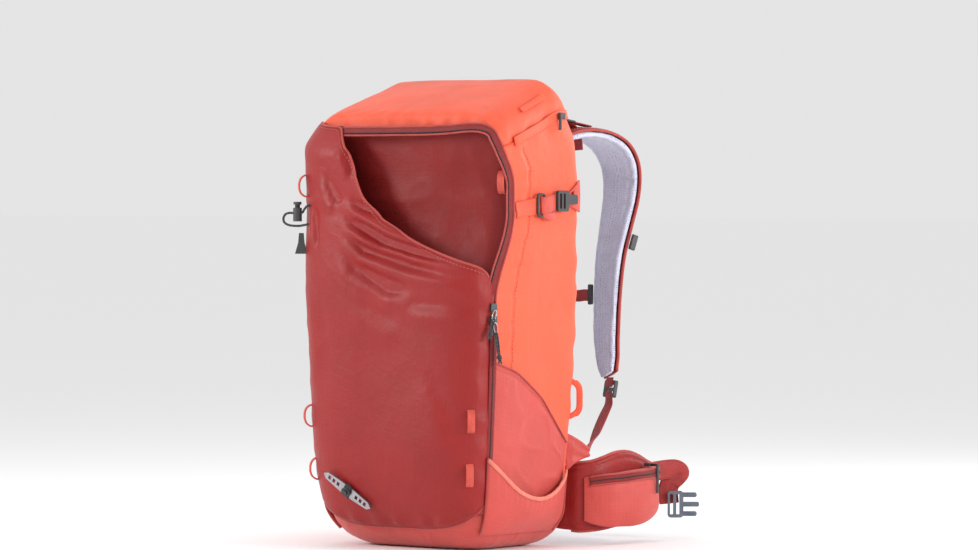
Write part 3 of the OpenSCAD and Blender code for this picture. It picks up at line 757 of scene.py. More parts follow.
def body_point(a, z):
    p = core(a, z, SHELL_BACK)
    n = outward(a, z)
    behind = p.y - zip_y(z)
    if behind < SHELL_BACK + 0.5:
        return p
    guard_top = lookup(p.y, GUARD_LINE)
    free = smooth(guard_top - 6, guard_top + 14, z) * (1 - smooth(505, 530, z) * 0.5)
    crease = 0.7 * ridged(p, 90, 1.3, 3) + 2.0 * billow((p.x, p.y * 1.6, p.z * 0.6), 110, 2.0)
    crease *= smooth(STRIP, STRIP + 30, behind)
    seam = -1.5 * bump(behind - STRIP, 2.2) + 0.9 * bump(behind - STRIP + 6, 5)
    wave = math.sin(z / 5.2 + 1.5 * billow(p, 40, 7)) + 0.6 * math.sin(z / 2.9 + 2)
    pucker = 0.8 * wave * (bump(behind - STRIP, 9) + bump(behind, 12))
    tall_fold = 2.2 * bump(behind - STRIP + 9, 5) * smooth(380, 430, z) * (1 - smooth(500, 530, z))
    top_pull = 1.6 * math.sin(p.y / 6.5 + 0.6 * math.sin(z / 9)) * bump(z - 537, 18)
    back_pull = 1.1 * math.sin(z / 8 + 2 * billow(p, 50, 3)) * bump(p.y - 88, 12)
    strap_pull = 2.0 * bump(z - drop(p.y) - 428, 16) * (1 - smooth(-25, 20, p.y))
    rise = crease + seam + pucker + tall_fold + top_pull + back_pull - strap_pull
    p = p + n * (rise * smooth(60, 110, abs(p.x)) * free)
    if abs(p.x) < 115 and 62 < z < 508 and p.y > RECESS_Y:
        p.y = RECESS_Y
    return p


def make_body():
    angles = even_angles(ROUND_THE_BAG)
    rows = [[body_point(a, z) for a in angles] for z in BODY_LEVELS]
    stand_for(grid_object("bag_body", rows, "orange", True), "root", "main_bag", slot="shell_orange")
    for s, side in SIDED:
        path, normals = [], []
        for z in [200 + 4.6 * k for k in range(72)]:
            y = zip_y(z) + STRIP + SEAM_TO_STITCH
            a = math.degrees(math.atan2(y - CENTRE_Y, width_at(z)))
            mirror = Vector((s, 1, 1))
            path.append(body_point(a, z) * mirror)
            normals.append(outward(a, z) * mirror)
        stand_for(stitches("body_stitching_" + side, path, normals, lift=0.25), "root", slot="shell_orange")


def lid_point(a, z):
    p = core(a, z, SHELL_BACK)
    behind = p.y - zip_y(z)
    gather = 1.7 * math.sin(p.x / 4.6 + 1.2 * billow(p, 30, 4)) * (1 if p.y < 20 else 0.5)
    side_wave = 1.3 * math.sin(p.y / 5.5 + 1.4 * billow(p, 35, 9))
    soft = 2.4 * billow(p, 80, 5) + 0.7 * ridged(p, 60, 8, 4)
    rise = soft * smooth(540, 556, z) * (1 - 0.6 * smooth(575, 584, z)) + bump(z - 539, 9) * side_wave
    if behind < 24:
        rise += gather * smooth(545, 566, z) * 0.6
    if behind < SHELL_BACK + 0.5:
        rise = min(rise, 0.4)
    return p + outward(a, z) * rise


def crown_point(a, share):
    """Point of the lid's top, at a share of the way out from its middle."""
    p = core(a, BAG_HEIGHT, SHELL_BACK)
    y = CENTRE_Y + (p.y - CENTRE_Y) * share
    q = Vector((p.x * share, y, BAG_HEIGHT + CROWN_RISE * (1 - share * share) - drop(y)))
    lift = 2.6 * billow(q, 80, 5) + 1.0 * ridged(q, 70, 3, 4)
    return q + Vector((0, 0, lift * (1 - share**6)))


def make_band(name, first, last, z, half, lift):
    """A sewn band on the lid's side, between two angles, with a stitch row along each edge."""
    angles = [mix(first, last, k / 40) for k in range(41)]
    normals = [outward(a, z) for a in angles]
    points = [skin(a, z) + n * lift for a, n in zip(angles, normals)]
    across = [n.cross((skin(a + 0.5, z) - skin(a - 0.5, z)).normalized()) for a, n in zip(angles, normals)]
    parts = [ribbon(name, points, across, half, 0.8, "orange", 1, 12)]
    for side in (-half + 1.2, half - 1.2):
        path = [p + w.normalized() * side for p, w in zip(points, across)]
        parts.append(stitches("row", path, normals, lift=0.7, radius=0.35, material="orange_web"))
    both(join(name, parts), "root", None, "shell_orange")


def make_lid():
    angles = even_angles(ROUND_THE_BAG)
    rows = [[lid_point(a, z) for a in angles] for z in LID_LEVELS]
    rows += [[crown_point(a, share) for a in angles] for share in CROWN_SHARES]
    stand_for(grid_object("lid", rows, "orange", True), "root", "lid", slot="shell_orange")
    make_band("lid_welt", -6, 17, 566, 3.6, 2.7)
    make_band("lid_seam_flap", -16, 90, SEAM_Z - 1, 6.2, 2.0)


BASE_LEVELS = [0, 0.6, 1.6, 3, 5, 8, 12, 16, 20, 24, 28, 32, 36, 40, 43, 45]


def base_point(a, z):
    p = skin(a, z)
    soft = (1.0 * billow(p, 45, 3) + 0.9 * ridged(p, 30, 6, 4)) * smooth(2, 12, z)
    return p + outward(a, z) * (soft - 0.6 * smooth(30, 45, z))


def make_base():
    rows = [[base_point(a, z) for a in even_angles(260, 60)] for z in BASE_LEVELS]
    inner = [[Vector((p.x * k, CENTRE_Y + (p.y - CENTRE_Y) * k, 0.25 * (1 - k))) for p in rows[0]]
             for k in (0.3, 0.65, 0.9)]
    stand_for(grid_object("base", inner + rows, "guard", True), "root", "bottom_panel", slot="guard_red")
    seam = [skin(a, 45.5, 1.0) for a in even_angles(120, 60)]
    piping("base_seam", [*seam, seam[0]], 1.2, "guard_red")


# --- Front pocket -----------------------------------------------------------------------

FREE_EDGE = [(234, 572), (240, 560), (250, 538), (256, 490), (270, 448), (286, 424), (303, 392),
             (315, 372), (328, 352), (331, 330), (333, 312)]
EDGE_SOFTENING = 4
FLAP_LEFT = 209
FLAP_ROUND = 122
FLAP_TOP = 572
FOLD_DEPTH = 1.25
FOLDS = [
    ((-56, 434, -20, 420, 22, 402, 88, 378), 6.5, 6),
    ((-68, 412, -30, 398, 6, 382, 70, 366, 146, 346), 8.0, 7),
    ((-60, 396, -26, 372, 52, 352, 146, 334), 6.5, 8),
    ((-64, 380, -36, 350, 10, 326, 60, 318), 5.0, 11),
    ((30, 306, 90, 304, 140, 300), 2.5, 9),
    ((-56, 500, -48, 478, -40, 456), 4.0, 6),
    ((-110, 426, -106, 398, -103, 366), 3.2, 5),
    ((-92, 470, -74, 440, -62, 424), 3.0, 8),
    ((-100, 330, -92, 250, -96, 180), 1.8, 12),
    ((-40, 320, 0, 296, 40, 286), 2.2, 14),
    ((70, 230, 98, 180, 112, 120), 1.6, 12),
]


def flap_low(a):
    return 28 + 34 * (abs(a - 270) * 2 / FLAP_ROUND) ** 7


def smooth_edge(a):
    steps = (-2, -1, 0, 1, 2)
    return sum(lookup(a + EDGE_SOFTENING * k / 2, FREE_EDGE) * (3 - abs(k)) for k in steps) / 9


def flap_place(across, up):
    """Angle and nominal height on the flap, and heights below its free edge and above its foot."""
    a0 = FLAP_LEFT + FLAP_ROUND * across
    low, high = flap_low(a0), min(FLAP_TOP, smooth_edge(a0))
    z = mix(low, high, up)
    s = seam_angle(z) + 0.4
    a = 180 + s + (180 - 2 * s) * across
    left = smooth(270, FLAP_LEFT, a0)
    return (a0 if a0 > 270 else mix(a0, a, left)), z, high - z, z - low


def flap_point(across, up, extra=0.0):
    a, z, below, above = flap_place(across, up)
    p = skin(a, z, 0.3 + 1.7 * (1 - smooth(40, 110, z)))
    n = outward(a, z)
    inside = smooth(0, 0.06, across) * smooth(0, 0.06, 1 - across)
    rise = FOLD_DEPTH * sum(fold(p.x, p.z, seg, deep, wide) for seg, deep, wide in FOLDS) * inside
    rise += 3.0 * billow(p, 120, 1.5) * inside * smooth(0, 30, above)
    high = smooth(200, 420, p.z)
    slant = (0.55 * p.x + 0.84 * p.z, 0.35 * (0.84 * p.x - 0.55 * p.z), 0)
    rise += (0.8 * ridged(slant, 34, 2.2, 3.0) * high + 0.5 * ridged(p, 80, 5.1, 3.0)) * inside
    edge_loose = bump(below, 26) * smooth(0.12, 0.4, across) * smooth(0, 0.12, 1 - across)
    rise += edge_loose * (3.4 + 1.2 * math.sin(p.x / 23 + 0.7))
    seam_side = min(across, 1 - across) * 300
    rise += 0.9 * math.sin(z / 6.1 + 2 * billow(p, 40, 3)) * bump(seam_side - 9, 9)
    rise += 1.0 * math.sin(p.x / 5.4 + 2 * billow(p, 30, 6)) * bump(above - 8, 10)
    rise += 2.2
    rise *= 1 - 0.6 * smooth(540, 566, z)
    rise = rise * smooth(0, 7, min(above, seam_side + 0.8)) + extra
    rise -= 1.6 * smooth(16, 5, (1 - across) * 300) * smooth(300, 282, z) * smooth(165, 190, z)
    return p + n * max(rise, -1.0 + extra)


def make_flap():
    grid = grid_of(190, 210, lambda across, up: flap_point(across, up, FABRIC - 0.6))
    stand_for(grid_object("front_flap", grid, "red", thick=1.4), "root", "front_flap", slot="front_red")
    piping("mouth_piping", [flap_point(c / 120, 1, 1.8) for c in range(4, 119)], 1.5, "zip_tape")
    band, normals = [], []
    for across in [c / 120 for c in range(4, 117)]:
        a, z, below, above = flap_place(across, 1)
        edge, under = flap_point(across, 1, 3.0), flap_point(across, 0.97, 3.0)
        band.append(edge + (under - edge).normalized() * 5.5)
        normals.append(outward(a, z))
    stand_for(stitches("mouth_stitching", band, normals, lift=0.4), "root", slot="zip_tape")
    piping("front_seam_right", [flap_point(1, k / 60, 1.2) for k in range(3, 58)], 1.5, "front_red")
    piping("front_seam_left", [flap_point(0, k / 80, 0.8) for k in range(3, 74)], 1.3, "front_red")
    piping("front_seam_low", [flap_point(k / 80, 0, 1.0) for k in range(81)], 1.4, "front_red")


LINING_LOW = 50
LINING_HIGH = 570


def lining_point(across, up):
    t, z = 2 * across - 1, mix(LINING_LOW, LINING_HIGH, up)
    line = zip_y(z) - 1
    edge = seam_edge(z, line) - 4
    x = t * edge
    p = tilt(x, line - lining_bulge(z) * (1 - (x / (edge + 4)) ** 2), z)
    inside = smooth(0, 0.12, 1 - abs(t)) * smooth(50, 80, z) * smooth(0, 16, LINING_HIGH - z)
    rise = 2.6 * ridged(p, 90, 2.4, 2.4) + 1.0 * ridged(p, 50, 7.7, 3) + 2.6 + 2.6 * billow(p, 80, 2)
    return p + Vector((0, -max(0.0, rise) * inside, 0))


def make_lining():
    lining = grid_object("front_lining", grid_of(110, 150, lining_point), "lining", thick=1.2)
    stand_for(lining, "root", "front_lining", slot="front_red")


def make_zip(name, route, half_w, half_t, lift, coil_place, radius, *nodes):
    """A zip's tape on the bag's skin along a route of (angle, nominal height), with its coil."""
    normals = [outward(a, z) for a, z in route]
    points = [skin(a, z) + n * lift for (a, z), n in zip(route, normals)]
    bare = [skin(a, z) for a, z in route]
    across = [n.cross(heading(bare, k)).normalized() for k, n in enumerate(normals)]
    tape = ribbon(name, points, across, half_w, half_t, "tape", 1, 12)
    stand_for(tape, "root", *nodes, slot="zip_tape")
    middle = offset(points, across, normals, *coil_place)
    coil = zip_coil(name.replace("_tape", "") + "_coil", middle, normals, radius)
    stand_for(coil, "root", slot="zip_tape")
    return points, across, normals


def make_zips():
    up = [(360 - seam_angle(z) - 2.6, z) for z in range(306, 552, 5)]
    turn = [k / 14 for k in range(1, 15)]
    over = [(mix(up[-1][0], 318, t**2), 551 + 18 * math.sin(t * math.pi / 2)) for t in turn]
    along = [(318 - 2.4 * k, 569) for k in range(1, 36)]
    track = make_zip("front_zip_tape", up + over + along, 6.4, 0.7, 1.4, (3.6, 0.9), 1.15, "front_zip")
    piping("zip_piping_outer", offset(*track, -6.2, 0.5), 1.3, "zip_tape", 1)
    piping("zip_piping_inner", offset(*track, 6.2, 0.5), 1.2, "zip_tape", 1)
    shut = [(331.5, z) for z in range(92, 286, 5)]
    make_zip("front_zip_lower", shut, 5.0, 0.6, 3.4, (0, 0.5), 1.1)
    loop = [(-12 + 204 * k / 90, SEAM_Z) for k in range(91)]
    make_zip("lid_zip_tape", loop, 5.0, 0.7, 1.1, (-3.4, 0.6), 0.9, "lid_zip")


# --- Sides ------------------------------------------------------------------------------

GUARD_LINE = [(-90, 238), (-36, 221), (15, 188), (62, 141), (90, 118)]
HEM_LINE = [(-90, 131), (-78, 117), (-47, 88), (-29, 74), (-7, 65), (17, 63), (41, 70), (62, 83), (77, 104),
            (90, 124)]


GUARD_ANGLES = (-27, 30.5)
POCKET_ANGLES = (-29.4, 30)
GUARD_FOOT = 45
POCKET_FOOT = 20


def smooth_lookup(y, table):
    return (lookup(y - 9, table) + 2 * lookup(y, table) + lookup(y + 9, table)) / 4


def guard_point(t, up, out=0.0):
    a = mix(*GUARD_ANGLES, t)
    z = mix(GUARD_FOOT, smooth_lookup(skin(a, 150).y, GUARD_LINE), up)
    a -= 7 * (1 - t) ** 3 * (1 - smooth(80, 104, z))
    p = skin(a, z, 1.4 + out - 1.1 * smooth(-27, -30, a))
    soft = 1.3 * billow(p, 60, 4) + 1.3 * ridged(p, 42, 2, 4) + 0.9
    inside = smooth(0, 0.1, t) * smooth(0, 0.1, 1 - t) * smooth(0, 0.1, 1 - up)
    return p + outward(a, z) * soft * inside


def pocket_point(t, up, out=0.0):
    a = mix(*POCKET_ANGLES, t)
    z = mix(POCKET_FOOT, smooth_lookup(skin(a, 100).y, HEM_LINE), up)
    gap = 0.7 + 1.9 * smooth(0, 0.3, up) + 11 * max(0, math.sin(math.pi * t)) ** 0.6 * smooth(0, 0.8, up)
    p = skin(a, z, 2.2 + gap + out)
    gathers = 0.35 * math.sin(t * 95 + 2 * billow(p, 30, 2)) * smooth(0.45, 0.9, up)
    soft = 1.2 * billow(p, 40, 8) * smooth(0, 0.3, up)
    inside = smooth(0, 0.08, t) * smooth(0, 0.08, 1 - t)
    return p + outward(a, z) * (gathers + soft) * inside


def make_sides():
    guard = grid_object("side_guard", grid_of(90, 60, guard_point), "guard", thick=1.2)
    both(guard, "root", "side_guard_{}", "guard_red")
    edge = [guard_point(c / 70, 1, 0.5) for c in range(71)]
    both(tube("guard_piping", edge, 1.3, "binding", 2, 8), "root", None, "guard_red")
    second = [guard_point(c / 70, 0.965, 0.4) for c in range(1, 70)]
    normals = [outward(mix(*GUARD_ANGLES, c / 70), 180) for c in range(1, 70)]
    both(stitches("guard_stitching", second, normals), "root", None, "guard_red")
    pocket = grid_object("side_pocket", grid_of(110, 44, pocket_point), "guard", thick=1.4)
    both(pocket, "root", "side_pocket_{}", "guard_red")
    hem = [pocket_point(c / 66, 0.975, 0.3) for c in range(67)]
    across = [(p - pocket_point(c / 66, 0.9, 0.3)).normalized() for c, p in enumerate(hem)]
    both(ribbon("pocket_hem", hem, across, 2.7, 1.5, "hem", 2, 12), "root", None, "webbing")
    for end, t in (("front", 0.0), ("back", 1.0)):
        line = [pocket_point(t, k / 24, 0.6) for k in range(25)]
        both(tube("pocket_seam_" + end, line, 1.3, "binding", 2, 8), "root", None, "guard_red")


# --- Back -------------------------------------------------------------------------------

def rounded(x, z, cx, cz, w, h, edge):
    """1 inside a rounded rectangle, falling smoothly to 0 at its rim."""
    dx, dz = abs(x - cx) / (w / 2), abs(z - cz) / (h / 2)
    r = (dx**6 + dz**6) ** (1 / 6)
    return 1 - smooth(1 - edge, 1, r)


BACK_FACE = 90.4
PANEL_MIDDLE = 285
PAD_FOOT = 88.6
HOLLOW_STEP = 58
PADS = [("ridge_right", 62, 315, 88, 350, 11.4), ("ridge_left", -62, 315, 88, 350, 11.4),
        ("lumbar", 0, 105, 190, 70, 15.4)]


def make_pad(name, cx, cz, w, h, high):
    """A foam pad moulded on the back panel, with stitched hollows across a tall one."""

    def point(across, up):
        x, z = mix(cx + w / 2, cx - w / 2, across), mix(cz - h / 2, cz + h / 2, up)
        dome = rounded(x, z, cx, cz, w, h, 0.5) ** 0.7
        from_hollow = (z - cz + HOLLOW_STEP / 2) % HOLLOW_STEP - HOLLOW_STEP / 2
        hollow = 1.6 * bump(abs(from_hollow), 3.0) * dome if h > 2 * HOLLOW_STEP else 0.0
        soft = 0.6 * billow((x, 40, z), 30, 2) * dome
        return Vector((x, PAD_FOOT + high * dome + soft - hollow, z))

    pad = grid_object("back_" + name, grid_of(int(w / 1.8), int(h / 2.2), point), "pad", thick=1.6)
    stand_for(pad, "root", slot="back_mesh")


def panel_point(across, up):
    x, z = mix(111, -111, across), mix(66, 504, up)
    return Vector((x, BACK_FACE - 3.6 + 3.6 * rounded(x, z, 0, PANEL_MIDDLE, 224, 440, 0.05), z))


def make_back():
    panel = grid_object("back_panel", grid_of(60, 110, panel_point), "back", thick=1.6)
    stand_for(panel, "root", "back_panel", slot="back_mesh")
    for values in PADS:
        make_pad(*values)
    corners = [super_round(a, 0.28, 0.16) for a in around(96)]
    rim = [(109.5 * x, BACK_FACE, PANEL_MIDDLE + 216.5 * z) for x, z in corners]
    stand_for(tube("back_binding", rim, 1.9, "grey_edge", 1, 8), "root", slot="back_mesh")
    cad("frame_sheet", "black")
    cad("frame_stays", "silver", 0.4)


HAUL_ROUTE = [(-36, 99, 526), (-31, 102, 533), (-22, 107, 541), (-10, 110, 546), (0, 111, 547),
              (10, 110, 546), (22, 107, 541), (31, 102, 533), (36, 99, 526)]
HAUL_HALF = [4, 5, 8, 9, 9, 9, 8, 5, 4]
EDGE_LOOP = [(139, 89, 203), (141, 90.5, 202), (143.6, 92.3, 196), (144, 92.5, 184), (143.6, 92.3, 172),
             (141, 90.5, 166), (139, 89, 165)]


WING_ENDS = [(126, 86, 92, 142), (133, 94, 102, 136), (136, 104, 106, 130), (138, 110, 108, 126),
             (140, 118, 110, 122)]


def wing_point(across, up):
    """Point of a hip wing, from rows of (x, y, low edge, high edge) further and further back."""
    t = across * 4
    i = min(int(t), 3)
    x, y, low, high = [mix(WING_ENDS[i][m], WING_ENDS[i + 1][m], t - i) for m in range(4)]
    return Vector((x + 0.8 + 0.9 * math.sin(up * 10.8 + across * 6), y, mix(low, high, up)))


def make_back_hardware():
    grip = ribbon("haul_loop", HAUL_ROUTE, [(0, 0.55, -0.83)] * 9, HAUL_HALF, 1.7, "dark_web")
    stand_for(grip, "haul", "haul_loop", slot="harness_webbing")
    roots, loops = [], []
    for s in SIDES:
        line = [(s * 41, 79, 518), (s * 39, 90, 519), (s * 36, 98.6, 525.5)]
        across = [(0.2 * s, 0.5, -0.83)] * 3
        roots.append(ribbon("haul_root", line, across, [5, 4.6, 4.2], 1.5, "dark_web", 4, 12))
        line = [(s * x, y, z) for x, y, z in EDGE_LOOP]
        loops.append(ribbon("edge_loop", line, [(0.79 * s, 0.61, 0)] * 7, 4, 1.2, "orange_web", 6, 12))
        for z, up in ((203, 1), (165, -1)):
            arm = [(s * 133, 84, z + 4 * up), (s * 136, 86.4, z + 2.5 * up), (s * 140.4, 89.8, z - up)]
            loops.append(ribbon("arm", arm, [(0, 0, 1)] * 3, 3.4, 1.1, "orange_web", 5, 12))
    stand_for(join("haul_roots", roots), "root", slot="harness_webbing")
    stand_for(join("back_edge_loops", loops), "root", "back_edge_loops", slot="webbing")
    wing = grid_object("wing", grid_of(24, 12, wing_point), "guard", thick=1.6)
    both(wing, "root", "wing_{}", "shell_orange")


# --- Harness ----------------------------------------------------------------------------

STRAP_LINE = [
    ((70, 113, 498), (1, 0, 0)), ((72, 124, 506), (1, 0, 0)), ((75, 142, 513), (1, 0, 0)),
    ((79, 170, 516), (1, 0, 0)), ((82, 205, 512), (1, -0.03, 0)), ((83, 236, 500), (1, -0.07, 0)),
    ((82, 257, 480), (1, -0.12, 0)), ((81, 265, 456), (1, -0.17, 0)), ((81, 262, 428), (1, -0.24, 0)),
    ((82, 251, 396), (1, -0.32, 0)), ((84, 237, 358), (1, -0.40, 0)), ((89, 224, 310), (1, -0.46, 0)),
    ((97, 211, 262), (1, -0.46, 0)), ((105, 203, 228), (1, -0.46, 0)), ((110, 199, 210), (1, -0.46, 0)),
]
STRAP_HALF = [27, 28, 29, 30, 31, 32, 32, 32, 32, 31, 30, 29, 27, 23, 16]
PAD_THIN = [4, 4.6, 5, 5, 5, 5, 5, 5, 5, 5, 5, 5, 4.6, 4, 3]
STRAP_FOLDS = [(178, 5, 2.6), (214, 4, 2.0), (268, 4, 1.8), (352, 4, 1.8), (366, 5, 2.2), (62, 5, 1.6)]


def pad_dent(s, across, face):
    q = Vector((s, across * 30, face * 5))
    rise = 0.9 * billow(q, 26, 3) + 0.6 * ridged(q, 20, 4, 4)
    for spot, wide, deep in STRAP_FOLDS:
        rise -= deep * bump(s - spot - 7 * across, wide)
    rise -= 1.5 * bump(abs(across) - 0.72, 0.09)
    rise += 0.7 * math.sin(s / 3.1) * bump(abs(across) - 0.86, 0.12)
    return rise


def shell_dent(s, across, face):
    q = Vector((s, across * 30, 40))
    rise = 0.7 * billow(q, 40, 3) + 0.9 * ridged(q, 34, 7, 4)
    rise -= 0.8 * bump(abs(across) - 0.8, 0.07)
    return rise if face < 0 else 0.0


def strap_frame(steps):
    """Rows of centre, direction across, outward direction and half width along a strap."""
    path = curve_through([c for c, w in STRAP_LINE], steps)
    widths = curve_through([w for c, w in STRAP_LINE], steps)
    out = []
    for k, c in enumerate(path):
        t = heading(path, k)
        v = t.cross(widths[k].normalized()).normalized()
        out.append((c, v.cross(t).normalized(), v, value_at(STRAP_HALF, k, len(path) - 1)))
    return out


def make_straps():
    line, widths = zip(*STRAP_LINE)
    inside = [half - 2.2 for half in STRAP_HALF]
    pad = ribbon("strap_pad", line, widths, inside, PAD_THIN, "grey", 12, 56, 2, pad_dent, 0.55, 0.6)
    shell = ribbon("strap_shell", line, widths, STRAP_HALF, 1.5, "red", 12, 40, -5.0, shell_dent)
    edges = []
    for side in SIDES:
        rim = [c + u * (side * (half - 0.6)) + v * -3.6 for c, u, v, half in strap_frame(4)]
        edges.append(tube("rim", rim, 1.9, "binding", 2, 8))
    binding = join("strap_binding", edges)
    for piece in both(pad, "harness", "strap_pad_{}", "grey_mesh"):
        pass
    both(shell, "harness", "strap_shell_{}", "front_red")
    both(binding, "harness", None, "front_red")
    free = strap_frame(4)[6:]
    line, across = [c + v * -6.9 for c, u, v, half in free], [u for c, u, v, half in free]
    daisy = ribbon("strap_daisy", line, across, 6.5, 0.7, "dark_web", 2, 10)
    both(daisy, "harness", None, "harness_webbing")
    rows = []
    for side in (-0.78, 0.78):
        sewn = strap_frame(6)[3:-3]
        path = [c + u * side * half + v * -6.4 for c, u, v, half in sewn]
        rows.append(stitches("row", path, [-v for c, u, v, half in sewn], lift=0.3))
    both(join("strap_stitching", rows), "harness", None, "front_red")


LIFTER_X = 86
LOWER_LINE = [
    ((112, 196.4, 189), (1, -0.45, 0)), ((112.6, 196.2, 182), (1, -0.45, 0)), ((114, 193, 172), (1, -0.4, 0)),
    ((117, 180, 160), (1, -0.2, 0.1)), ((122, 162, 145), (0.8, 0.3, 0.5)), ((128, 146, 134), (0.5, 0.5, 0.7)),
    ((133, 131, 124), (0.2, 0.4, 0.9)), ((136, 120, 118), (0.1, 0.3, 0.95)),
]


def frame_plate(name, w, h, bars, thick, material):
    """A moulded tri-glide: an outer rounded frame with bars across, in its own XZ plane."""
    corners = [super_round(a, 0.35, 0.35) for a in around(40)]
    parts = [tube(name, [(w / 2 * x, 0, h / 2 * z) for x, z in corners], thick / 2, material, 1, 8)]
    for z in bars:
        parts.append(tube("bar", [(-w / 2, 0, z), (0, 0, z), (w / 2, 0, z)], thick / 2, material, 3, 8))
    return join(name, parts)


def place(obj, at, turn):
    """Moves a piece's mesh to a place, turned by degrees about x, then y, then z."""
    move = Matrix.Translation(Vector(at) * MM)
    for angle, axis in zip(reversed(turn), "ZYX"):
        move = move @ Matrix.Rotation(math.radians(angle), 4, axis)
    obj.data.transform(move)
    return obj


def make_lifter(s, side):
    """The load lifter of one side: its strap, tri-glide and hanging tail."""
    line = [(s * (LIFTER_X - 8), 78, 538), (s * (LIFTER_X - 8), 99, 536), (s * (LIFTER_X - 5), 120, 533),
            (s * (LIFTER_X - 2), 142, 530), (s * LIFTER_X, 164, 527.5), (s * LIFTER_X, 186, 524.5)]
    web = ribbon("load_lifter_" + side, line, [(1, 0, 0)] * 6, 7.5, 1.2, "dark_web", 8, 12)
    glide = frame_plate("glide", 22, 17, (-3, 3), 3.0, "black")
    place(glide, (s * (LIFTER_X - 2), 142, 530.5), (83, 0, 0))
    line = [(s * (LIFTER_X - 2), 148, 528), (s * (LIFTER_X - 2), 160, 521), (s * (LIFTER_X - 1), 166, 508),
            (s * LIFTER_X, 167, 494)]
    tail = ribbon("tail", line, [(1, 0, 0)] * 4, 7.5, 1.0, "dark_web", 6, 12)
    lifter = join("load_lifter_" + side, [web, glide, tail])
    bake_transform(lifter)
    if s > 0:
        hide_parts("load_lifters")


def make_lower_webbing(s, side):
    """The strap of one side from the ladder lock down to the bag, and its stub in the pad's end."""
    line, widths = [[(s * x, y, z) for x, y, z in column] for column in zip(*LOWER_LINE)]
    web = ribbon("lower_webbing_" + side, line, widths, 8.6, 1.0, "dark_web", 8, 12)
    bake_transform(web)
    if s > 0:
        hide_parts("lower_webbing")
    upper = [(s * 112, 199.5, 206), (s * 112, 198.2, 199), (s * 112, 197, 194)]
    stub = ribbon("strap_end_" + side, upper, [(s, -0.4, 0)] * 3, 8.2, 1.0, "dark_web", 6, 12)
    stand_for(stub, "harness", slot="harness_webbing")


STERNUM_WEBS = [
    [(52, 233, 309), (45, 233.4, 309), (38, 232.6, 308), (31, 232, 308)],
    [(-51, 233, 309), (-42, 233.5, 308.5), (-32, 232.4, 308), (-19, 231.6, 308)],
    [(31, 232, 308), (24, 231.8, 308), (17, 231.6, 308)],
]


def make_harness_webbing():
    for s, side in SIDED:
        make_lifter(s, side)
        make_lower_webbing(s, side)
    for node in ("ladder_lock_right", "ladder_lock_left", "strap_clips", "sternum_buckle_male",
                 "sternum_buckle_female", "sternum_sliders"):
        cad(node, "black", 0.5)
    webs = [ribbon("web", line, [(0, 0, 1)] * len(line), 7.5, 1.0, "dark_web", 6, 12)
            for line in STERNUM_WEBS]
    stand_for(join("sternum_web", webs), "sternum", "sternum_web", slot="harness_webbing")


# --- Hip belt ---------------------------------------------------------------------------

FIN_LINE = [
    (84, 97, 26, 92), (102, 100, 20, 98), (118, 106, 18, 100), (130, 110, 17, 102), (142, 121, 18, 104),
    (150, 136, 20, 109), (154, 155, 23, 114), (156, 178, 27, 114), (156, 200, 34, 108), (153, 220, 44, 101),
    (151, 233, 54, 97),
]
FIN_LENGTH = [(row[1], k / 10) for k, row in enumerate(FIN_LINE)]
HIP_POCKET = [
    (135, 113.5, 30, 84, 1.5), (143, 122, 25, 87, 6), (149.5, 134, 22, 89, 11), (152.5, 147, 22, 90, 15),
    (155, 165, 22, 92, 20), (156, 185, 25, 93, 21), (155.5, 203, 32, 94, 19), (153.5, 217, 42, 94, 13),
    (152, 226, 52, 92, 4),
]
FIN_HALF = 5.5
HIP_SIDES = 56
HIP_FOLD = [
    ((150, 226, 84), (0, 0, 1)), ((151, 236, 86), (0, 0, 1)), ((153, 248, 87), (0, 0, 1)),
    ((157, 260, 88), (0, 0, 1)), ((163, 270, 88), (0.1, 0.1, 1)), ((167, 274, 84), (0.6, 0.5, 0.6)),
    ((164, 270.5, 78), (0.75, 0.6, 0.25)), ((159, 265, 71), (0.8, 0.6, 0.1)), ((157, 263, 62), (0.8, 0.6, 0)),
    ((158, 262.5, 52), (0.8, 0.6, 0)), ((160.5, 260.5, 45), (0.8, 0.6, 0)),
]


def spread(table, t):
    """A row of a table at t from 0 to 1, through its entries with smooth changes."""
    last = len(table) - 1
    u = t * last
    i = min(int(u), last - 1)
    rows = [table[clamped] for clamped in (max(i - 1, 0), i, i + 1, min(i + 2, last))]
    return [catmull(*entries, u - i) for entries in zip(*rows)]


def plan_normal(table, t):
    """Outward direction of a table's line of (x, y, ...) rows, seen from above."""
    a, b = spread(table, max(0, t - 0.02)), spread(table, min(1, t + 0.02))
    d = Vector((b[0] - a[0], b[1] - a[1], 0)).normalized()
    return Vector((d.y, -d.x, 0))


def fin_point(t, i):
    """Point of a hip fin, at a share along it and a step round its section."""
    x, y, low, high = spread(FIN_LINE, t)
    n = plan_normal(FIN_LINE, t)
    c, s = super_round(2 * math.pi * i / HIP_SIDES, 0.6, 0.4)
    mid, half = (low + high) / 2, (high - low) / 2
    p = Vector((x, y, mid)) + n * FIN_HALF * c + Vector((0, 0, 1)) * half * s
    q = Vector((t * 160, p.z, c * 20))
    soft = (1.0 * billow(q, 36, 4) + 0.5 * ridged(q, 40, 3, 3)) * (1 - abs(s) ** 4)
    seam = -1.3 * bump(abs(s) - 0.84, 0.04)
    return p + n * (soft + seam) * (1 if c > 0 else -1) * smooth(0, 0.5, abs(c))


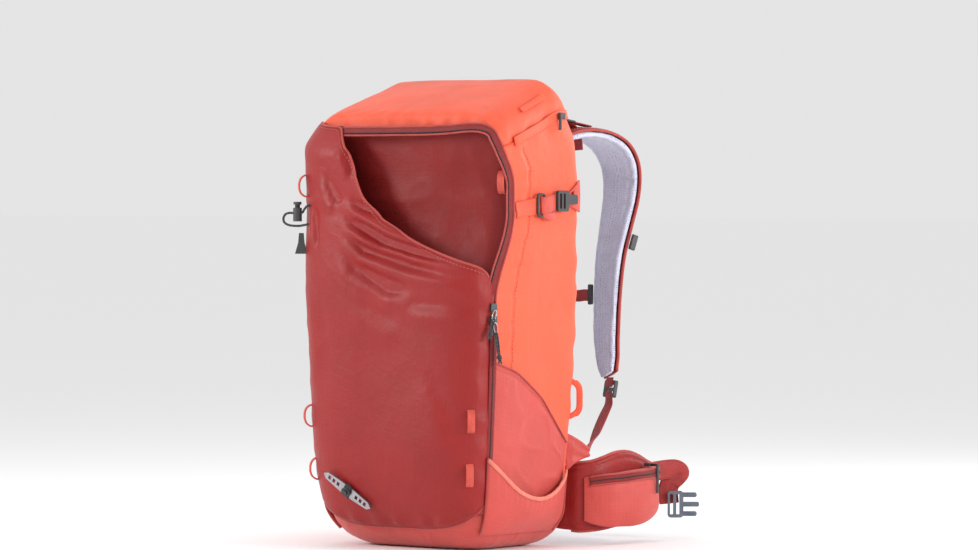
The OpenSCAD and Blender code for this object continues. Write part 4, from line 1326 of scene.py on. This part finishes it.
def hip_point(t, i):
    """Point of a hip pocket, at a share along it and a step round its section."""
    x, y, low, high, deep = spread(HIP_POCKET, t)
    n = plan_normal(FIN_LINE, lookup(y, FIN_LENGTH))
    c, s = super_round(2 * math.pi * i / HIP_SIDES, 0.6, 0.45)
    mid, half = (low + high) / 2, (high - low) / 2
    p = Vector((x, y, mid)) + n * (FIN_HALF + 1.4 + max(deep, 1) * (1 + c) / 2) + Vector((0, 0, 1)) * half * s
    q = Vector((t * 120, p.z, 30))
    soft = (2.4 * billow(q, 38, 4) + 1.2 * ridged(q, 44, 3, 3)) * clamp01(c) * smooth(0, 0.12, t)
    return p + n * soft * smooth(0, 0.12, 1 - t)


def fin_face(across, up):
    """Point of the mesh on the fin's inner face."""
    t, u = mix(0.34, 0.97, up), mix(-0.8, 0.8, across)
    x, y, low, high = spread(FIN_LINE, t)
    middle = (1 - abs(u / 0.8) ** 4) * (1 - abs(2 * up - 1) ** 8)
    rise = 0.8 + 1.4 * middle + 0.5 * billow(Vector((t * 160, u * 40, 0)), 20, 3)
    return Vector((x, y, mix(low, high, (u + 1) / 2))) - plan_normal(FIN_LINE, t) * (FIN_HALF + rise)


def make_fins():
    """Both padded hip fins, their edge bindings and the mesh on their inner faces."""
    rings = [[fin_point(r / 90, -i) for i in range(HIP_SIDES)] for r in range(91)]
    fin = grid_object("hip_fin_right", rings, "red", True)
    left = mirrored(fin, "hip_fin_left")
    for piece, (s, side) in zip((fin, left), SIDED):
        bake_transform(piece)
        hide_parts("hip_fin_" + side)
    rims = []
    for sign in SIDES:
        rim = []
        for k in range(61):
            x, y, low, high = spread(FIN_LINE, mix(0.22, 1, k / 60))
            rim.append((x, y, high + 0.2 if sign > 0 else low - 0.2))
        rims.append(tube("rim", rim, 2.2, "binding", 2, 8))
    both(join("fin_binding", rims), "fin_{}", None, "front_red")
    for piece in both(grid_object("fin_lining", grid_of(30, 60, fin_face), "grey", thick=1.2), "fin_{}", None,
                      "grey_mesh"):
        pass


def make_hip_pockets():
    """The pocket on each fin with its zip; the zip's pull is a CAD slider."""
    rings = [[hip_point(r / 70, -i) for i in range(HIP_SIDES)] for r in range(71)]
    both(grid_object("hip_pocket", rings, "guard", True), "fin_{}", "hip_pocket_{}", "guard_red")
    line, normals = [], []
    for k in range(4, 57):
        x, y, low, high, deep = spread(HIP_POCKET, k / 60)
        n = plan_normal(FIN_LINE, lookup(y, FIN_LENGTH))
        line.append(Vector((x, y, high - 6.5)) + n * (FIN_HALF + 2.6 + deep * 0.98))
        normals.append(n)
    up = [Vector((0, 0, 1))] * len(line)
    tape = ribbon("hip_zip", line, up, 5.2, 0.8, "tape", 1, 10)
    coil = zip_coil("hip_coil", offset(line, up, normals, 0, 0.7), normals, 1.0)
    both(tape, "fin_{}", None, "zip_tape")
    both(coil, "fin_{}", None, "zip_tape")
    welts = [tube("welt", offset(line, up, normals, *away), 1.2, "binding", 1, 8)
             for away in ((5.4, -0.8), (-5.4, 0))]
    both(join("hip_pocket_welts", welts), "fin_{}", None, "guard_red")


def make_hip():
    make_fins()
    make_hip_pockets()
    web = ribbon("hip_web_right", *zip(*HIP_FOLD), 12.5, 1.1, "dark_web", 8, 12)
    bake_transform(web)
    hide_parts("hip_web_right")
    line = [(-150, 228, 82), (-151, 236, 84), (-152, 244, 84), (-152, 252, 84), (-152, 259, 84)]
    web = ribbon("hip_web_left", line, [(0, 0, 1)] * 5, 12.5, 1.1, "dark_web", 6, 12)
    stand_for(web, "fin_left", "hip_web_left", slot="harness_webbing")
    for node in ("hip_buckle_male", "hip_buckle_female"):
        cad(node, "buckle", 0.7)
    for node in ("hip_slider_right", "hip_slider_left"):
        cad(node, "black", 0.5)


# --- Front hardware ---------------------------------------------------------------------

LOOP_PLACES = [(1, 162), (1, 96), (-1, 498), (-1, 162), (-1, 96)]


LOOP_SHAPE = [(-2.5, -13.5), (2, -13), (6.6, -9.5), (8.8, -4), (9.0, 0), (8.8, 4), (6.6, 9.5), (2, 13),
              (-2.5, 13.5)]


def make_loops():
    places = [(s, skin(-38, z, 2.8), -48, 2.4) for s, z in LOOP_PLACES]
    places.append((1, core(-32, 485), -70, 6))
    loops = []
    for s, p, facing, gap in places:
        c, q = math.cos(math.radians(facing)), math.sin(math.radians(facing))
        line = [(s * (p.x + c * (x + gap)), p.y + q * (x + gap), p.z + up) for x, up in LOOP_SHAPE]
        loops.append(ribbon("loop", line, [(-q * s, c, 0)] * 9, 4.6, 1.1, "coral", 6, 12))
    stand_for(join("ski_loops", loops), "root", "ski_loops", slot="webbing")


CORD_ROUTE = [(-121, -115, 425), (-125, -116, 423), (-129, -116, 419), (-132, -116, 415.5), (-138, -118, 415),
              (-144, -120, 415), (-149, -122, 415), (-154, -123, 413), (-156, -124, 408), (-155, -123, 403),
              (-150, -121, 400), (-143, -119, 399), (-136, -116, 399), (-130, -114, 400), (-125, -113, 401)]
CORD_WIDTH = 3
LOCK_AT = (-138, -118)
TOGGLE_AT = Vector((-57, -118.5, 71))


SPRING_FOOT = 406.6
SPRING_HEIGHT = 4.4
SPRING_ROUND = 2.4
SPRING_WIRE = 0.35


def make_shaft_holder():
    path = curve_through(CORD_ROUTE, 4)
    cord = tube("shaft_cord", CORD_ROUTE, CORD_WIDTH / 2, "cord", 4, 12)
    stand_for(cord, "root", "shaft_cord", slot="black_cord")
    running(path)[-1] * MM
    for node in ("cord_lock_body", "cord_lock_button"):
        cad(node, "black", 0.4)
    x, y = LOCK_AT
    climb = SPRING_HEIGHT / 72
    coil = [(x + SPRING_ROUND * math.cos(a), y + SPRING_ROUND * math.sin(a), SPRING_FOOT + climb * k)
            for k, a in enumerate(around(24, 49))]
    spring = tube("lock_spring", coil, SPRING_WIRE, "wire", 1, 8)
    stand_for(spring, "root", "cord_lock_spring", slot="spring_steel")
    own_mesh(spring)
    cad("shaft_tab", "black", 0.5)
    cad("toggle_bar", "silver", 0.5)
    cad("toggle_anchor", "black", 0.5)
    round_bar = [(0, 3.0 * math.cos(a), 8.6 * math.sin(a)) for a in around(24)]
    wrap = ribbon("toggle_sleeve", round_bar, [(1, 0, 0)] * 25, 5.2, 0.7, "black_web", 1, 12)
    turn = Matrix.Rotation(math.radians(17), 4, "X") @ Matrix.Rotation(math.radians(35), 4, "Y")
    wrap.data.transform(Matrix.Translation(TOGGLE_AT * MM) @ turn)
    stand_for(wrap, "toggle", slot="black_cord")


STRAP_ROUTE = [(151.2, -46, 418.5), (151.6, -30, 421), (152.2, -15, 423), (152.8, 0, 425), (153.4, 14, 427),
               (154.6, 26.5, 428)]
FOLD_ROUTE = [(155.2, -1, 424.6), (157.4, 2, 424.8), (158.8, 8, 425.4), (158.4, 14, 426.2), (156.8, 19, 427),
              (155.2, 23.5, 427.6)]
TAIL_ROUTE = [(156, 2, 415), (158.4, 8, 412), (158.8, 16, 411), (157, 23, 412.5)]
TAB_DEPTHS = [59, 60, 61, 62, 64, 66, 68, 71, 74, 78, 82, 84, 86]
TAB_ROWS = 17
TAB_FOOT = [(59, 424), (84, 416)]
TAB_TOP = [(59, 440), (84, 456)]


def make_tab(s):
    """The sewn tab of one side, with the slot its hook holds on to."""
    points, faces = [], []
    for share in [r / (TAB_ROWS - 1) for r in range(TAB_ROWS)]:
        for y in TAB_DEPTHS:
            x = 152.6 + 0.7 * math.sin(math.pi * share) - 3.6 * smooth(74, 88, y)
            points.append((s * x, y, mix(lookup(y, TAB_FOOT), lookup(y, TAB_TOP), share)))
    n = len(TAB_DEPTHS)
    for r in range(TAB_ROWS - 1):
        for c in range(n - 1):
            z = mix(TAB_FOOT[0][1], TAB_TOP[0][1], (r + 0.5) / (TAB_ROWS - 1))
            if 61 <= TAB_DEPTHS[c] < 68 and 427 < z < 438:
                continue
            a = r * n + c
            quad = (a, a + 1, a + 1 + n, a + n)
            faces.append(quad if s > 0 else quad[::-1])
    return thicken(add_object("tab", points, faces, "coral", [(y, z) for x, y, z in points]), 1.6)


def make_side_hardware():
    strap = ribbon("side_strap", STRAP_ROUTE, [(0, 0, 1)] * 6, 10, 1.1, "orange_web", 8, 14)
    both(strap, "root", "side_strap_{}", "webbing")
    glide = place(frame_plate("side_glide", 13, 27, (), 3.4, "black"), (155.4, -1, 425), (0, 0, 90))
    both(glide, "root", None, "black_plastic")
    fold = ribbon("side_fold", FOLD_ROUTE, [(0, 0, 1)] * 6, 10.4, 1.1, "coral", 6, 14)
    both(fold, "root", None, "webbing")
    both(ribbon("side_tail", TAIL_ROUTE, [(0, 0.1, 1)] * 4, 5, 1.0, "coral", 6, 12), "root", None, "webbing")
    for s, side in SIDED:
        cad("side_hook_" + side, "black", 0.5)
    stand_for(join("side_tabs", [make_tab(s) for s in SIDES]), "root", "side_tabs", slot="webbing")


SLIDER_SPOT = skin(331, 290, 3.6)
SLIDER_FACING = math.radians(-24)


def zip_place(z, out, sideways=0.0):
    """Point by the front zip at a height, out from it and along its width."""
    c, s = math.cos(SLIDER_FACING), math.sin(SLIDER_FACING)
    return Vector((SLIDER_SPOT.x + c * out - s * sideways, SLIDER_SPOT.y + s * out + c * sideways, z))


def make_pull(node, z, length, lean):
    """Wire ring, doubled cord, knot and tail hanging from a slider."""
    name = "zip_" + node
    c, s = math.sin(math.radians(lean)), math.cos(math.radians(lean))

    def at(down, out=6.0, side=0.0):
        return zip_place(z - down * s, out, down * c + side)

    ring = [at(5 - 6.5 * math.cos(a), 6.0, 2.6 * math.sin(a)) for a in around(24)]
    parts = [tube(name, ring, 0.6, "wire", 1, 8)]
    for side in (-1, 1):
        run = [at(10, 6.0, side * 0.4), at(length * 0.35, 6.0, side * 1.3), at(length * 0.7, 6.0, side * 1.2),
               at(length - 3, 6.0, side * 0.7)]
        parts.append(tube("run", run, 1.15, "cord", 6, 8))
    knot = [at(length - 3 + 1.5 * math.sin(2 * a), 6 + 1.9 * math.cos(a), 2.0 * math.sin(a))
            for a in around(24, 13)]
    parts.append(tube("knot", knot, 1.6, "cord", 1, 8))
    for side in (-1, 1):
        tail = [at(length - 2, 6.0, side * 0.5), at(length + 2, 6.3, side * 1.2),
                at(length + 5, 6.4, side * 1.9)]
        parts.append(tube("tail", tail, 1.15, "cord", 5, 8))
    stand_for(join(name, parts), name, node, slot="black_cord")


def make_sliders():
    for node in ("slider_upper", "slider_lower", "lid_slider_right", "lid_slider_left"):
        cad(node, "black", 0.5)
    make_pull("pull_upper", 296, 30, -14)
    make_pull("pull_lower", 281, 44, 8)


# --- Room and light ---------------------------------------------------------------------

FLOOR_HALF = 60
FLOOR_Z = -0.0005
WORLD_LIGHT = 0.78


def area_light(name, at, look, power, size):
    data = bpy.data.lights.new(name, "AREA")
    data.energy = power
    data.size = size
    light = bpy.data.objects.new(name, data)
    light.location = at
    light.rotation_euler = (Vector(look) - Vector(at)).to_track_quat("-Z", "Y").to_euler()
    bpy.context.scene.collection.objects.link(light)


def make_room():
    n = Nodes("studio_floor")
    n.set(Base_Color=shade(WHITE, 0.99), Roughness=1.0, Specular_IOR_Level=0.0)
    mesh = bpy.data.meshes.new("floor")
    corners = [(FLOOR_HALF * x, FLOOR_HALF * y, FLOOR_Z) for x, y in ((-1, -1), (1, -1), (1, 1), (-1, 1))]
    mesh.from_pydata(corners, [], [(0, 1, 2, 3)])
    mesh.materials.append(n.material)
    floor = bpy.data.objects.new("floor", mesh)
    bpy.context.scene.collection.objects.link(floor)
    world = bpy.data.worlds.new("studio")
    world.use_nodes = True
    background = world.node_tree.nodes["Background"].inputs
    background["Color"].default_value = (1, 1, 1, 1)
    background["Strength"].default_value = WORLD_LIGHT
    bpy.context.scene.world = world
    az = math.radians(CAMERA_AZIMUTH)
    toward = Vector((math.sin(az), -math.cos(az), 0))
    right = Vector((math.cos(az), math.sin(az), 0))
    up = Vector((0, 0, 1))
    look = (0, 0, 0.3)
    area_light("key", toward * 0.5 - right * 2.0 + up * 1.1, look, 22, 0.6)
    area_light("fill", toward * 1.2 + right * 1.9 + up * 0.8, look, 24, 0.6)
    area_light("rim", right * 1.6 - toward * 1.0 + up * 1.0, look, 8, 0.8)
    area_light("top", up * 2.2, look, 4, 1.6)
    bpy.context.scene.view_settings.view_transform = "Standard"


make_body()
make_lid()
make_base()
make_lining()
make_flap()
make_zips()
make_sides()
make_back()
make_back_hardware()
make_straps()
make_harness_webbing()
make_hip()
make_loops()
make_shaft_holder()
make_side_hardware()
make_sliders()
make_room()
